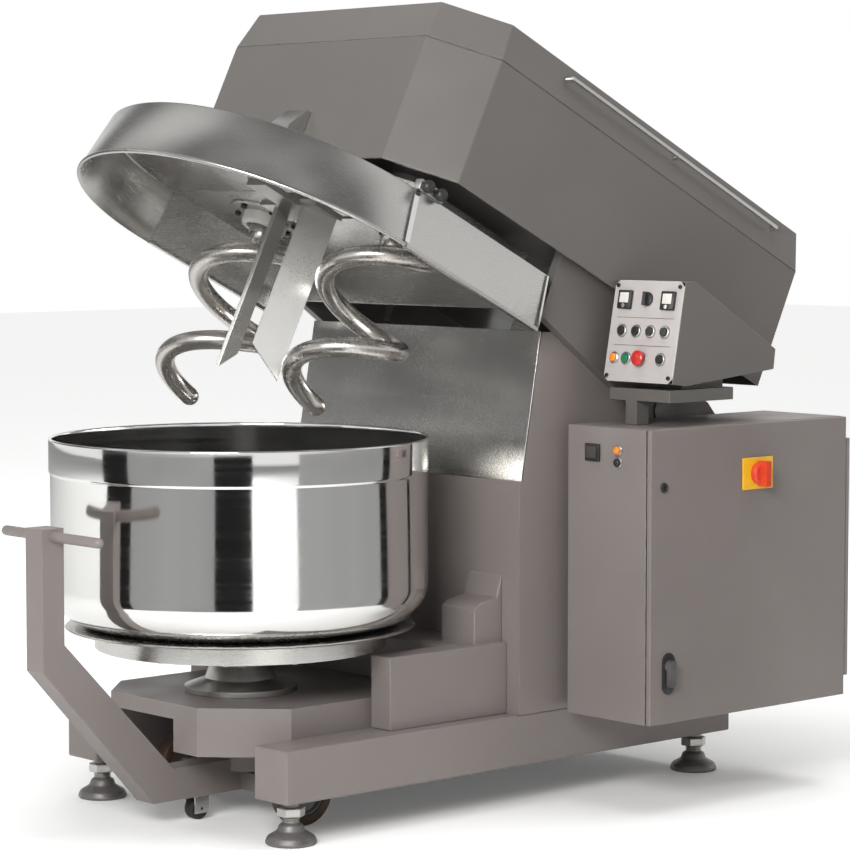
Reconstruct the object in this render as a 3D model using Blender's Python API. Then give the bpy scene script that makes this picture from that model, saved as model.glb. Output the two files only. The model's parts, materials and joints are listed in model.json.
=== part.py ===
"""Twin-spiral dough mixer with a tilting head and a removable bowl on a trolley.

Every length is in metres. The machine frame has its origin on the floor under the bowl axis, with +X
towards the electrical cabinet, +Y to the rear and +Z up. Head pieces are modelled in the head's own
frame, level, with its origin at the centre of the bowl cover's lip, and the whole head is then tilted.
At the end the assembly is shifted so that the middle of its footprint is the origin.
"""
from math import acos, atan2, cos, pi, radians, sin

import bmesh
import bpy
from mathutils import Euler, Matrix, Vector

for old in list(bpy.data.objects):
    bpy.data.objects.remove(old, do_unlink=True)

GAP = 0.0003  # clearance between neighbouring pieces
SHEET = 0.004  # casing sheet thickness
SEGMENTS = 32  # facets round a turned piece

# Bowl
RIM_RADIUS = 0.500
RIM_TOP = 0.997
BOWL_FLOOR = 0.505
BOWL_WALL = 0.005
RING_RADIUS = 0.384
RING_BOTTOM = 0.446

# Legs, column and neck
LEG_OUTER = 0.467
LEG_WIDTH = 0.130
LEG_BOTTOM = 0.112
LEG_TOP = 0.249
LEG_FRONT = -0.228
FRAME_WALL = 0.008  # plate thickness of the column
COLUMN_FRONT = 0.571
COLUMN_REAR = 1.380
COLUMN_TOP = 0.872
NECK_TOP = 1.265
FOOT_X = 0.402
FOOT_FRONT = -0.161
FOOT_REAR = 1.320

# Electrical cabinet on the right side
CABINET_LOW = Vector((0.507, 0.711, 0.246))
CABINET_HIGH = Vector((0.811, 1.490, 1.021))
DOOR_THICK = 0.016
LATCH = Vector((CABINET_HIGH.x, 0.780, 0.400))
ISOLATOR = Vector((CABINET_HIGH.x, 1.121, 0.886))

# Control console above the cabinet
CONSOLE_LEFT = 0.546
CONSOLE_RIGHT = 0.796
PANEL_BOTTOM = Vector((0.0, 0.806, 1.135))
PANEL_TOP = Vector((0.0, 0.856, 1.402))

BUTTON_RADIUS = 0.012
STOP_RADIUS = 0.021
BUTTON_DEPTH = 0.014  # a plunger reaches this far each way from the panel plane
JOG_PITCH = 0.052
SELECTOR_UP = 0.086
LOWER_ROW = -0.073
BUTTON_SPOTS = {
    "jog_button_1": (-1.5 * JOG_PITCH, 0.0),
    "jog_button_2": (-0.5 * JOG_PITCH, 0.0),
    "jog_button_3": (0.5 * JOG_PITCH, 0.0),
    "jog_button_4": (1.5 * JOG_PITCH, 0.0),
    "start_button": (-0.050, LOWER_ROW),
    "stop_button": (0.006, LOWER_ROW),
    "reset_button": (0.075, LOWER_ROW),
}

# Tilting head
HEAD_TILT = radians(26.1)
LIP_LOWERED = 1.020  # height of the cover's lip over the floor with the head down
PIVOT = Vector((0.0, 1.084, 1.040))
PIVOT_RADIUS = 0.035
COVER_LIP = 0.534
COVER_TOP = 0.504
COVER_HEIGHT = 0.161
COVER_NOTCH = 0.120  # the front half's top stops this far from the centre
COVER_REAR = 0.514
HEAD_HALF = 0.538
HEAD_FRONT = -0.053
HEAD_REAR = 1.373
HEAD_CHAMFER = 0.147
HEAD_BOTTOM = 0.222
HEAD_FOLD = 0.574
HEAD_TOP = 0.685
LID_INSET = 0.023

# Spiral tools
TOOL_X = 0.270
TOOL_Y = 0.160
TOOL_RADIUS = 0.125
TOOL_PITCH = 0.260
TUBE_RADIUS = 0.026
TOOL_TURNS = 1.70
SPINDLE_RADIUS = 0.030
PULLEY_RADIUS = 0.170
MOTOR_PULLEY_RADIUS = 0.060
MOTOR_Y = 0.850
BELT_THICK = 0.008
BELT_WIDE = 0.018
BELT_SLACK = 0.0015  # clearance between a belt and its pulleys

# Dough breaker: two flat bars between the spirals
BAR_THICK = 0.010
BAR_INNER = Vector((0.055, 0.020))  # front edge of the right bar in plan
BAR_OUTER = Vector((0.105, 0.101))  # rear edge of the right bar in plan
BAR_TOP = 0.130
BAR_TIP = -0.345
BAR_HEEL = -0.275

# Bowl drive, lifting cylinders and trolley
FRICTION_RADIUS = 0.070
LIFT_X = 0.300
LIFT_FOOT = Vector((0.0, 0.760, 0.350))
LIFT_EYE = Vector((0.0, 0.800, 1.250))
BARREL_LENGTH = 0.520
WHEEL_RADIUS = 0.090
WHEEL_X = 0.250
CASTER_RADIUS = 0.030
CASTER_Y = -0.150
POST_FRONT = -0.655
GRIP = Vector((0.0, POST_FRONT + 0.033, 0.780))
GRIP_RADIUS = 0.013


# ---------------------------------------------------------------- materials and objects

def material(name, colour, roughness, metallic):
    made = bpy.data.materials.new(name)
    made.use_nodes = True
    shader = made.node_tree.nodes["Principled BSDF"]
    shader.inputs["Base Color"].default_value = (*colour, 1.0)
    shader.inputs["Roughness"].default_value = roughness
    shader.inputs["Metallic"].default_value = metallic
    return made


PAINT = material("grey_paint", (0.16, 0.148, 0.130), 0.42, 0.0)
DARK_PAINT = material("dark_paint", (0.060, 0.057, 0.052), 0.5, 0.0)
STEEL = material("stainless_steel", (0.60, 0.59, 0.57), 0.25, 1.0)
POLISHED = material("polished_steel", (0.80, 0.80, 0.79), 0.08, 1.0)
CAST = material("cast_iron", (0.18, 0.18, 0.18), 0.6, 0.6)
RUBBER = material("black_rubber", (0.025, 0.023, 0.022), 0.8, 0.0)
BLACK = material("black_plastic", (0.02, 0.02, 0.02), 0.4, 0.0)
WHITE = material("white_plastic", (0.75, 0.74, 0.71), 0.4, 0.0)
PLATE = material("panel_plate", (0.50, 0.48, 0.46), 0.35, 0.3)
RED = material("red_plastic", (0.55, 0.02, 0.02), 0.35, 0.0)
GREEN = material("green_plastic", (0.02, 0.20, 0.08), 0.35, 0.0)


def empty(name, parent, location=(0.0, 0.0, 0.0), rotation=(0.0, 0.0, 0.0)):
    made = bpy.data.objects.new(name, None)
    bpy.context.scene.collection.objects.link(made)
    made.parent = parent
    made.location = location
    made.rotation_euler = rotation
    return made


def piece(name, bm, finish, parent, origin=(0.0, 0.0, 0.0)):
    """Turn a bmesh, given in its parent's frame, into a named object with its origin at `origin`."""
    bmesh.ops.recalc_face_normals(bm, faces=bm.faces)
    bmesh.ops.translate(bm, verts=bm.verts, vec=-Vector(origin))
    mesh = bpy.data.meshes.new(name)
    bm.to_mesh(mesh)
    bm.free()
    mesh.materials.append(finish)
    mesh.shade_smooth()
    mesh.set_sharp_from_angle(angle=radians(35))
    made = bpy.data.objects.new(name, mesh)
    bpy.context.scene.collection.objects.link(made)
    made.parent = parent
    made.location = origin
    return made


def combine(first, second, operation):
    """Boolean of two bmeshes in one frame, returned as a new bmesh."""
    objects = []
    for bm in (first, second):
        bmesh.ops.recalc_face_normals(bm, faces=bm.faces)
        mesh = bpy.data.meshes.new("operand")
        bm.to_mesh(mesh)
        bm.free()
        made = bpy.data.objects.new("operand", mesh)
        bpy.context.scene.collection.objects.link(made)
        objects.append(made)
    step = objects[0].modifiers.new("step", "BOOLEAN")
    step.operation = operation
    step.object = objects[1]
    depsgraph = bpy.context.evaluated_depsgraph_get()
    result = bmesh.new()
    result.from_object(objects[0], depsgraph)
    for made in objects:
        bpy.data.objects.remove(made, do_unlink=True)
    return result


def cut(solid, *tools):
    for tool in tools:
        solid = combine(solid, tool, "DIFFERENCE")
    return solid


def join(solid, *others):
    for other in others:
        solid = combine(solid, other, "UNION")
    return solid


# ---------------------------------------------------------------- solids

def box(low, high):
    bm = bmesh.new()
    low = Vector(low)
    high = Vector(high)
    place = Matrix.Translation((low + high) / 2) @ Matrix.Diagonal((*(high - low), 1.0))
    bmesh.ops.create_cube(bm, size=1.0, matrix=place)
    return bm


def loft(loops):
    """Closed solid through equal-length loops of points, capped at both ends."""
    bm = bmesh.new()
    rings = [[bm.verts.new(point) for point in loop] for loop in loops]
    count = len(rings[0])
    for lower, upper in zip(rings, rings[1:]):
        for i in range(count):
            j = (i + 1) % count
            bm.faces.new((lower[i], lower[j], upper[j], upper[i]))
    bm.faces.new(rings[0])
    bm.faces.new(rings[-1])
    return bm


def prism(outline, axis, low, high):
    """Extrude a flat outline along an axis; its points hold the other two coordinates in order."""
    def point(pair, along):
        a, b = pair
        return {"x": (along, a, b), "y": (a, along, b), "z": (a, b, along)}[axis]
    return loft([[point(pair, low) for pair in outline], [point(pair, high) for pair in outline]])


def turn(profile, centre=(0.0, 0.0, 0.0), axis="z", segments=SEGMENTS):
    """Turned solid. The profile's (radius, along) points run from axis to axis, or close on themselves."""
    bm = bmesh.new()
    centre = Vector(centre)
    facing = {"z": Matrix.Identity(3), "x": Euler((0, pi / 2, 0)).to_matrix(),
              "y": Euler((-pi / 2, 0, 0)).to_matrix()}[axis]
    rings = []
    for radius, along in profile:
        steps = 1 if radius == 0 else segments
        spots = [Vector((radius * cos(2 * pi * k / segments), radius * sin(2 * pi * k / segments), along))
                 for k in range(steps)]
        rings.append([bm.verts.new(centre + facing @ spot) for spot in spots])
    pairs = list(zip(rings, rings[1:]))
    if profile[0][0] > 0:
        pairs.append((rings[-1], rings[0]))
    for first, second in pairs:
        for k in range(segments):
            n = (k + 1) % segments
            corners = [first[k % len(first)], first[n % len(first)],
                       second[n % len(second)], second[k % len(second)]]
            corners = list(dict.fromkeys(corners))
            if len(corners) > 2:
                bm.faces.new(corners)
    return bm


def rod(radius, low, high, centre, axis="z", segments=SEGMENTS):
    return turn([(0, low), (radius, low), (radius, high), (0, high)], centre, axis, segments)


def sweep(path, radius, sides=12, round_end=False):
    """Round bar along a path, with its rings kept square to the path and no twist."""
    path = [Vector(point) for point in path]
    radii = [radius] * len(path)
    if round_end:
        heading = (path[-1] - path[-2]).normalized()
        tip = path[-1]
        for angle in (30, 60, 80):
            path.append(tip + heading * radius * sin(radians(angle)))
            radii.append(radius * cos(radians(angle)))
    loops = []
    normal = None
    for i, point in enumerate(path):
        heading = (path[min(i + 1, len(path) - 1)] - path[max(i - 1, 0)]).normalized()
        if normal is None:
            normal = heading.orthogonal()
        normal = (normal - heading * normal.dot(heading)).normalized()
        side = heading.cross(normal)
        angles = [2 * pi * k / sides for k in range(sides)]
        loops.append([point + (normal * cos(a) + side * sin(a)) * radii[i] for a in angles])
    return loft(loops)


def casing_outline(inset):
    """Plan of the head, a rectangle with its two front corners cut off, drawn in by `inset` on every side."""
    half = HEAD_HALF - inset
    front = HEAD_FRONT + inset
    rear = HEAD_REAR - inset
    cut_off = HEAD_CHAMFER - 0.41 * inset  # keeps the cut corner's face at the same inset
    return [(-half + cut_off, front), (half - cut_off, front), (half, front + cut_off), (half, rear),
            (-half, rear), (-half, front + cut_off)]


def belt(first, first_radius, second, second_radius, low):
    """Flat belt running round two pulleys that stand on parallel vertical axes."""
    high = low + BELT_WIDE
    first = Vector(first)
    second = Vector(second)
    span = second - first
    base = atan2(span.y, span.x)

    def loop(offset, along):
        a = first_radius + offset
        b = second_radius + offset
        lean = acos((a - b) / span.length)
        points = []
        for k in range(21):
            angle = base + lean + (2 * pi - 2 * lean) * k / 20
            points.append((first.x + a * cos(angle), first.y + a * sin(angle), along))
        for k in range(17):
            angle = base - lean + 2 * lean * k / 16
            points.append((second.x + b * cos(angle), second.y + b * sin(angle), along))
        return points

    bm = bmesh.new()
    inner = BELT_SLACK
    outer = BELT_SLACK + BELT_THICK
    loops = [loop(inner, low), loop(outer, low), loop(outer, high), loop(inner, high)]
    rings = [[bm.verts.new(point) for point in points] for points in loops]
    for here, following in zip(rings, rings[1:] + rings[:1]):
        for i in range(len(here)):
            j = (i + 1) % len(here)
            bm.faces.new((here[i], here[j], following[j], following[i]))
    return bm


# ---------------------------------------------------------------- fixed machine

def build_frame(machine):
    inner = LEG_OUTER - LEG_WIDTH
    legs = [box((side * inner, LEG_FRONT, LEG_BOTTOM), (side * LEG_OUTER, COLUMN_REAR + 0.02, LEG_TOP))
            for side in (1, -1)]
    rear_beam = box((-inner - 0.02, 1.26, LEG_BOTTOM + 0.01), (inner + 0.02, 1.36, LEG_TOP - 0.01))
    front_beam = box((-inner - 0.02, 0.62, LEG_BOTTOM + 0.01), (inner + 0.02, 0.68, LEG_TOP - 0.01))
    piece("base_frame", join(legs[0], rear_beam, front_beam, legs[1]), PAINT, machine)

    outline = [(COLUMN_FRONT, LEG_TOP + GAP), (COLUMN_FRONT, COLUMN_TOP), (0.582, COLUMN_TOP),
               (0.652, NECK_TOP), (0.820, NECK_TOP), (1.300, 1.050), (COLUMN_REAR, 0.960),
               (COLUMN_REAR, LEG_TOP + GAP)]
    # the inside is open at the top, where the head comes down between the side plates
    wall = FRAME_WALL
    inside = [(COLUMN_FRONT + wall, 0.1), (COLUMN_FRONT + wall, COLUMN_TOP - wall), (0.590, COLUMN_TOP),
              (0.660, NECK_TOP + 0.05), (1.450, NECK_TOP + 0.05), (1.450, 1.100),
              (COLUMN_REAR - wall, 0.960), (COLUMN_REAR - wall, 0.1)]
    column = cut(prism(outline, "x", -LEG_OUTER, LEG_OUTER),
                 prism(inside, "x", -LEG_OUTER + wall, LEG_OUTER - wall),
                 rod(PIVOT_RADIUS + GAP, -0.6, 0.6, PIVOT, "x"))
    piece("column", column, PAINT, machine)

    low = COLUMN_TOP + GAP
    panel = [(0.5755, low), (0.6460, NECK_TOP + 0.004), (0.6490, NECK_TOP + 0.004), (0.5785, low)]
    piece("splash_panel", prism(panel, "x", -LEG_OUTER, LEG_OUTER), STEEL, machine)
    piece("pivot_shaft", rod(PIVOT_RADIUS, -0.503, 0.503, PIVOT, "x"), STEEL, machine)


def build_feet(machine):
    profile = [(0, 0), (0.066, 0), (0.064, 0.018), (0.030, 0.046), (0.024, 0.082), (0.036, 0.084),
               (0.036, LEG_BOTTOM - GAP), (0, LEG_BOTTOM - GAP)]
    for front, y in (("front", FOOT_FRONT), ("rear", FOOT_REAR)):
        for side, x in (("left", -FOOT_X), ("right", FOOT_X)):
            piece(f"foot_{front}_{side}", turn(profile, (x, y, 0), segments=16), CAST, machine)


def build_bowl_drive(machine):
    """Housing under the bowl's rear, its motor, and the rubber wheel that turns the bowl's ring."""
    top = RING_BOTTOM - 0.006
    block = box((-0.420, 0.400, LEG_TOP + GAP), (0.420, COLUMN_FRONT - GAP, top))
    cheeks = [box((side * 0.345, 0.156, LEG_TOP + GAP), (side * 0.420, 0.42, top)) for side in (1, -1)]
    room = box((-0.335, 0.408, 0.2), (0.335, 0.7, top - 0.008))
    wheel_y = RING_RADIUS + FRICTION_RADIUS + 0.0005
    outline = [(0.470, top - 0.02), (0.470, 0.535), (0.490, 0.548), (0.552, 0.560),
               (COLUMN_FRONT - GAP, 0.620), (COLUMN_FRONT - GAP, top - 0.02)]
    lock_box = prism(outline, "x", 0.270, 0.400)
    housing = cut(join(block, lock_box, *cheeks), room, rod(0.0165, 0.3, 0.6, (0, wheel_y, 0), segments=16))
    piece("bowl_drive_housing", housing, PAINT, machine)

    motor = turn([(0, 0.262), (0.062, 0.262), (0.066, 0.270), (0.066, 0.390), (0.040, 0.400),
                  (0.030, 0.424), (0, 0.424)], (0, wheel_y + 0.022, 0))
    piece("bowl_drive_motor", motor, CAST, machine)
    wheel = turn([(0, 0.4265), (0.0160, 0.4265), (0.0160, top + 0.010), (FRICTION_RADIUS, top + 0.012),
                  (FRICTION_RADIUS, 0.492), (0.030, 0.494), (0, 0.494)], (0, wheel_y, 0))
    piece("bowl_drive_wheel", wheel, RUBBER, machine)


def build_cabinet(machine):
    low = CABINET_LOW
    high = CABINET_HIGH
    shell_right = high.x - DOOR_THICK - 0.002
    body = box(low, (shell_right, high.y, high.z))
    room = box(low + Vector((SHEET, SHEET, SHEET)), (high.x + 0.1, high.y - SHEET, high.z - SHEET))
    piece("cabinet_body", cut(body, room), PAINT, machine)
    plate = box((low.x + 0.010, low.y + 0.06, low.z + 0.06), (low.x + 0.016, high.y - 0.06, high.z - 0.06))
    inverter = box((low.x + 0.012, 0.84, 0.50), (low.x + 0.14, 1.02, 0.86))
    contactors = box((low.x + 0.012, 1.08, 0.62), (low.x + 0.12, 1.38, 0.74))
    piece("switchgear_plate", join(plate, inverter, contactors), BLACK, machine)

    door_low = (high.x - DOOR_THICK, low.y + 0.001, low.z + 0.001)
    piece("cabinet_door", box(door_low, (high.x, high.y - 0.001, high.z - 0.001)), PAINT, machine,
          (high.x - DOOR_THICK, high.y, 0))
    barrel = rod(0.009, 0.300, 0.960, (high.x - 0.010, high.y + 0.0105, 0), segments=16)
    leaf = box((high.x - 0.060, high.y + GAP, 0.310), (high.x - 0.012, high.y + 0.005, 0.950))
    piece("door_hinge", join(barrel, leaf), STEEL, machine)
    latch = turn([(0, GAP), (0.016, GAP), (0.016, 0.010), (0, 0.010)], LATCH, "x", 20)
    lever = box(LATCH + Vector((0.006, -0.012, -0.055)), LATCH + Vector((0.020, 0.012, 0.012)))
    piece("door_latch", join(latch, lever), CAST, machine, LATCH)

    knob = turn([(0, 0.0053), (0.030, 0.0053), (0.030, 0.016), (0.024, 0.022), (0, 0.022)], ISOLATOR, "x", 24)
    grip = box(ISOLATOR + Vector((0.012, -0.009, -0.034)), ISOLATOR + Vector((0.044, 0.009, 0.034)))
    piece("isolator_knob", join(knob, grip), RED, machine, ISOLATOR)

    straps = [box((LEG_OUTER + GAP, 0.80, z), (low.x - GAP, 1.30, z + 0.09)) for z in (0.74, 0.30)]
    web = box((LEG_OUTER + 0.006, 1.00, 0.32), (low.x - 0.006, 1.10, 0.80))
    piece("cabinet_bracket", join(straps[0], web, straps[1]), DARK_PAINT, machine)


# ---------------------------------------------------------------- control console

def panel_frame():
    """Frame whose z axis is the panel's outward normal and whose y axis runs up its face."""
    up = (PANEL_TOP - PANEL_BOTTOM).normalized()
    normal = Vector((1, 0, 0)).cross(up)
    middle = (PANEL_BOTTOM + PANEL_TOP) / 2
    middle.x = (CONSOLE_LEFT + CONSOLE_RIGHT) / 2
    turned = Matrix((Vector((1, 0, 0)), up, normal)).transposed()
    return middle, turned.to_euler()


def build_console(machine):
    """Wedge-shaped console on a neck, with the control plate on its sloping front."""
    bottom = PANEL_BOTTOM
    top = PANEL_TOP
    outline = [(bottom.y, bottom.z), (top.y, top.z), (0.893, 1.402), (1.210, 1.215), (1.203, 1.161),
               (0.860, 1.128)]
    wall = SHEET
    inside = [(bottom.y - 0.02, bottom.z + wall), (top.y - 0.02, top.z - wall), (0.891, top.z - wall),
              (1.205, 1.212), (1.199, 1.165), (0.862, 1.1325)]
    shell = cut(prism(outline, "x", CONSOLE_LEFT, CONSOLE_RIGHT),
                prism(inside, "x", CONSOLE_LEFT + wall, CONSOLE_RIGHT - wall))
    stem = box((0.620, 0.812, CABINET_HIGH.z + GAP), (0.660, 0.860, 1.095))
    arm = box((0.560, 0.812, 1.085), (0.780, 1.060, 1.118))
    neck = box((0.580, 0.880, 1.100), (0.760, 1.040, 1.1435))
    piece("console_casing", join(shell, neck, arm, stem), PAINT, machine)

    centre, turned = panel_frame()
    panel = empty("panel_plane", machine, centre, turned)
    half = (CONSOLE_RIGHT - CONSOLE_LEFT) / 2
    tall = (PANEL_TOP - PANEL_BOTTOM).length / 2
    corner = 0.016
    outline = [(-half, -tall + corner), (-half + corner, -tall), (half - corner, -tall),
               (half, -tall + corner), (half, tall - corner), (half - corner, tall),
               (-half + corner, tall), (-half, tall - corner)]
    bore = BUTTON_RADIUS + 2 * GAP
    holes = [rod(bore, -0.1, 0.1, (x, y, 0), segments=12) for x, y in BUTTON_SPOTS.values()]
    piece("control_plate", cut(prism(outline, "z", GAP, SHEET), *holes), PLATE, panel)
    build_controls(panel)


def build_controls(panel):
    """Speed selector on the plate, and push buttons whose plungers pass through it."""
    seat = SHEET + GAP
    spot = Vector((0, SELECTOR_UP, 0))
    dial = turn([(0, seat), (0.019, seat), (0.019, 0.008), (0.014, 0.010), (0, 0.010)], spot, segments=16)
    grip = box(spot + Vector((-0.0055, -0.018, 0.0085)), spot + Vector((0.0055, 0.018, 0.022)))
    piece("speed_selector", join(dial, grip), BLACK, panel, spot)
    finish = {"start_button": GREEN, "stop_button": RED}
    deep = BUTTON_DEPTH
    for name, (x, y) in BUTTON_SPOTS.items():
        profile = [(0, -deep), (BUTTON_RADIUS, -deep), (BUTTON_RADIUS, deep), (0, deep)]
        if name == "stop_button":
            # mushroom head, a little wider than the other buttons
            profile = [(0, -deep), (BUTTON_RADIUS, -deep), (BUTTON_RADIUS, 0.014), (STOP_RADIUS, 0.017),
                       (STOP_RADIUS, 0.024), (0.015, 0.029), (0, 0.031)]
        piece(name, turn(profile, (x, y, 0), segments=12), finish.get(name, BLACK), panel)


# ---------------------------------------------------------------- lifting cylinders

def build_lift(machine):
    """Two hydraulic cylinders, each turning about the foot pin, with a rod that slides out of it."""
    reach = LIFT_EYE - LIFT_FOOT
    lean = Euler((atan2(-reach.y, reach.z), 0, 0))
    for side, x in (("left", -LIFT_X), ("right", LIFT_X)):
        foot = LIFT_FOOT + Vector((x, 0, 0))
        frame = empty(f"lift_line_{side}", machine, foot, lean)
        barrel = turn([(0, -0.030), (0.030, -0.026), (0.042, -0.010), (0.042, BARREL_LENGTH),
                       (0.0225, BARREL_LENGTH), (0.0225, 0.060), (0, 0.060)], segments=16)
        eye = rod(0.0155, -0.1, 0.1, (0, 0, 0), "x", 16)
        piece(f"lift_cylinder_{side}", cut(barrel, eye), CAST, frame)
        # the rod stops short of the head's lug, so that the two never touch
        stem = turn([(0, 0.300), (0.022, 0.300), (0.022, reach.length - 0.034),
                     (0.014, reach.length - 0.020), (0, reach.length - 0.016)], segments=16)
        piece(f"lift_rod_{side}", stem, POLISHED, frame)
    piece("lift_foot_pin", rod(0.015, -0.458, 0.458, LIFT_FOOT, "x", 16), STEEL, machine)


# ---------------------------------------------------------------- head

def build_head_shell(head):
    """Sheet casing and lid round the welded frame that carries the spindles, the motor and the pivot."""
    shell = cut(prism(casing_outline(0), "z", HEAD_BOTTOM, HEAD_FOLD),
                prism(casing_outline(SHEET), "z", HEAD_BOTTOM - 0.1, HEAD_FOLD + 0.1))
    piece("head_casing", shell, PAINT, head)
    low = HEAD_FOLD + GAP
    lid = loft([[(*p, low) for p in casing_outline(0)], [(*p, HEAD_TOP) for p in casing_outline(LID_INSET)]])
    void = loft([[(*p, low - 0.02) for p in casing_outline(SHEET)],
                 [(*p, low) for p in casing_outline(SHEET)],
                 [(*p, HEAD_TOP - SHEET) for p in casing_outline(LID_INSET + SHEET)]])
    piece("head_lid", cut(lid, void), PAINT, head)
    build_rail(head)
    build_head_frame(head)


def build_head_frame(head):
    outline = [(-0.37, -0.02), (0.37, -0.02), (0.50, 0.11), (0.50, 1.30), (-0.50, 1.30), (-0.50, 0.11)]
    plate = prism(outline, "z", 0.262, 0.285)
    bosses = [rod(0.055, 0.230, 0.270, (side * TOOL_X, TOOL_Y, 0)) for side in (1, -1)]
    eye = Vector((0, 0.7365, 0.0831))
    lug = [(eye.y - 0.03, eye.z + 0.006), (eye.y + 0.03, eye.z + 0.006), (eye.y + 0.05, 0.27),
           (eye.y - 0.05, 0.27)]
    lugs = [prism(lug, "x", side * LIFT_X - 0.014, side * LIFT_X + 0.014) for side in (1, -1)]
    holes = [rod(SPINDLE_RADIUS + GAP, 0.0, 0.5, (side * TOOL_X, TOOL_Y, 0)) for side in (1, -1)]
    pivot = head_pivot()
    cheek = [(0.545, 0.060), (1.000, -0.020), (1.060, -0.050), (1.150, -0.050), (1.200, 0.0), (1.240, 0.270),
             (0.545, 0.270)]
    cheeks = [prism(cheek, "x", *sorted((side * 0.4695, side * 0.4985))) for side in (1, -1)]
    posts = [box((x - 0.02, y - 0.02, 0.275), (x + 0.02, y + 0.02, 0.390))
             for x in (-0.26, 0.26) for y in (MOTOR_Y - 0.15, MOTOR_Y + 0.15)]
    seat = box((-0.28, MOTOR_Y - 0.18, 0.386), (0.28, MOTOR_Y + 0.18, 0.401))
    frame = join(plate, *bosses, *lugs, *cheeks, *posts, seat)
    bearings = rod(PIVOT_RADIUS + GAP, -0.6, 0.6, pivot, "x")
    piece("head_frame", cut(frame, *holes, bearings, rod(0.022, 0.3, 0.5, (0, MOTOR_Y, 0))), PAINT, head)


def head_pivot():
    return Vector((0, PIVOT.y, PIVOT.z - LIP_LOWERED))


def build_rail(head):
    """Grab rail along the right side of the lid, on three short feet bent from the same bar."""
    lean = atan2(HEAD_TOP - HEAD_FOLD, LID_INSET)
    out = Vector((sin(lean), 0, cos(lean)))
    seat = Vector((HEAD_HALF - LID_INSET * 0.62, 0, HEAD_FOLD + (HEAD_TOP - HEAD_FOLD) * 0.62))
    start, middle, end = 0.330, 0.790, 1.235
    low = seat + out * 0.0018
    high = seat + out * 0.022
    path = [low + Vector((0, start, 0)), high + Vector((0, start + 0.004, 0)),
            high + Vector((0, start + 0.03, 0)), high + Vector((0, end - 0.03, 0)),
            high + Vector((0, end - 0.004, 0)), low + Vector((0, end, 0))]
    stay = [low + Vector((0, middle, 0)), high + Vector((0, middle, 0))]
    piece("grab_rail", join(sweep(path, 0.006, 8), sweep(stay, 0.005, 8)), STEEL, head)


def part_turn(profile, start, end, steps):
    """Closed solid swept by a (radius, height) profile from one angle to another about the z axis."""
    angles = [start + (end - start) * k / steps for k in range(steps + 1)]
    return loft([[(radius * cos(a), radius * sin(a), height) for radius, height in profile] for a in angles])


def build_cover(head):
    """Bowl cover: a front half with a closed top, and a rear half that runs back to the neck."""
    thick = SHEET
    profile = [(COVER_NOTCH, COVER_HEIGHT), (COVER_TOP, COVER_HEIGHT), (COVER_LIP, 0.010),
               (COVER_LIP + 0.006, 0.010), (COVER_LIP + 0.006, 0), (COVER_LIP - 0.006, 0),
               (COVER_TOP - thick, COVER_HEIGHT - thick), (COVER_NOTCH, COVER_HEIGHT - thick)]
    piece("cover_front", part_turn(profile, pi, 2 * pi, 28), STEEL, head)

    build_cover_rear(head)

    tool_plate = prism([(-0.36, 0.02), (0.36, 0.02), (0.42, 0.08), (0.42, 0.50), (-0.42, 0.50),
                        (-0.42, 0.08)], "z", COVER_HEIGHT + GAP, HEAD_BOTTOM - 0.010)
    holes = [rod(0.046, 0.1, 0.3, (side * TOOL_X, TOOL_Y, 0)) for side in (1, -1)]
    piece("tool_plate", cut(tool_plate, *holes), STEEL, head)


def build_cover_rear(head):
    thick = SHEET
    ends = COVER_REAR
    sides = []
    for side in (1, -1):
        a = side * (COVER_LIP - thick)
        b = side * COVER_LIP
        c = side * COVER_TOP
        d = side * (COVER_TOP - thick)
        y0 = 0.004
        loops = [[(a, y, 0), (b, y, 0), (c, y, COVER_HEIGHT), (d, y, COVER_HEIGHT)] for y in (y0, ends)]
        sides.append(loft(loops))
        sides.append(box((side * (COVER_LIP - 0.010), y0, 0), (side * (COVER_LIP + 0.006), ends, 0.010)))
    # the floor of the rear half is a shelf that closes the cover between the tools and the neck
    shelf = prism([(-0.5005, 0.004), (0.5005, 0.004), (0.5005, ends), (-0.5005, ends)], "z",
                  COVER_HEIGHT - thick, COVER_HEIGHT)
    below = COVER_LIP - 0.002
    above = COVER_TOP - 0.002
    top = COVER_HEIGHT - 0.001
    rear_wall = prism([(-below, 0.0), (below, 0.0), (above, top), (-above, top)], "y", ends - thick, ends)
    holes = [rod(0.052, 0.1, 0.3, (side * TOOL_X, TOOL_Y, 0)) for side in (1, -1)]
    blade_slot = box((-0.09, -0.1, 0.1), (0.09, 0.17, 0.3))
    gap = box((-0.44, ends - 0.02, -0.1), (0.44, ends + 0.02, 0.06))
    piece("cover_rear", cut(join(shelf, *sides, rear_wall), *holes, blade_slot, gap), STEEL, head)


def spiral_path(x):
    """Helix that leaves the spindle, swings out to full radius and stops after TOOL_TURNS turns."""
    start = radians(48)
    swing = radians(80)
    sweep_angle = TOOL_TURNS * 2 * pi
    top = 0.088
    points = [(x, TOOL_Y, 0.122), (x, TOOL_Y, 0.108), (x, TOOL_Y, top + 0.006)]
    count = 40
    for k in range(1, count + 1):
        travelled = -swing + (sweep_angle + swing) * k / count
        share = min((travelled + swing) / swing, 1.0)
        radius = TOOL_RADIUS * (1 - (1 - share) ** 2)
        fall = TOOL_PITCH * max(travelled, 0) / (2 * pi) + 0.012 * share
        angle = start - travelled
        points.append((x + radius * cos(angle), TOOL_Y + radius * sin(angle), top - fall))
    return points


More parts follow.
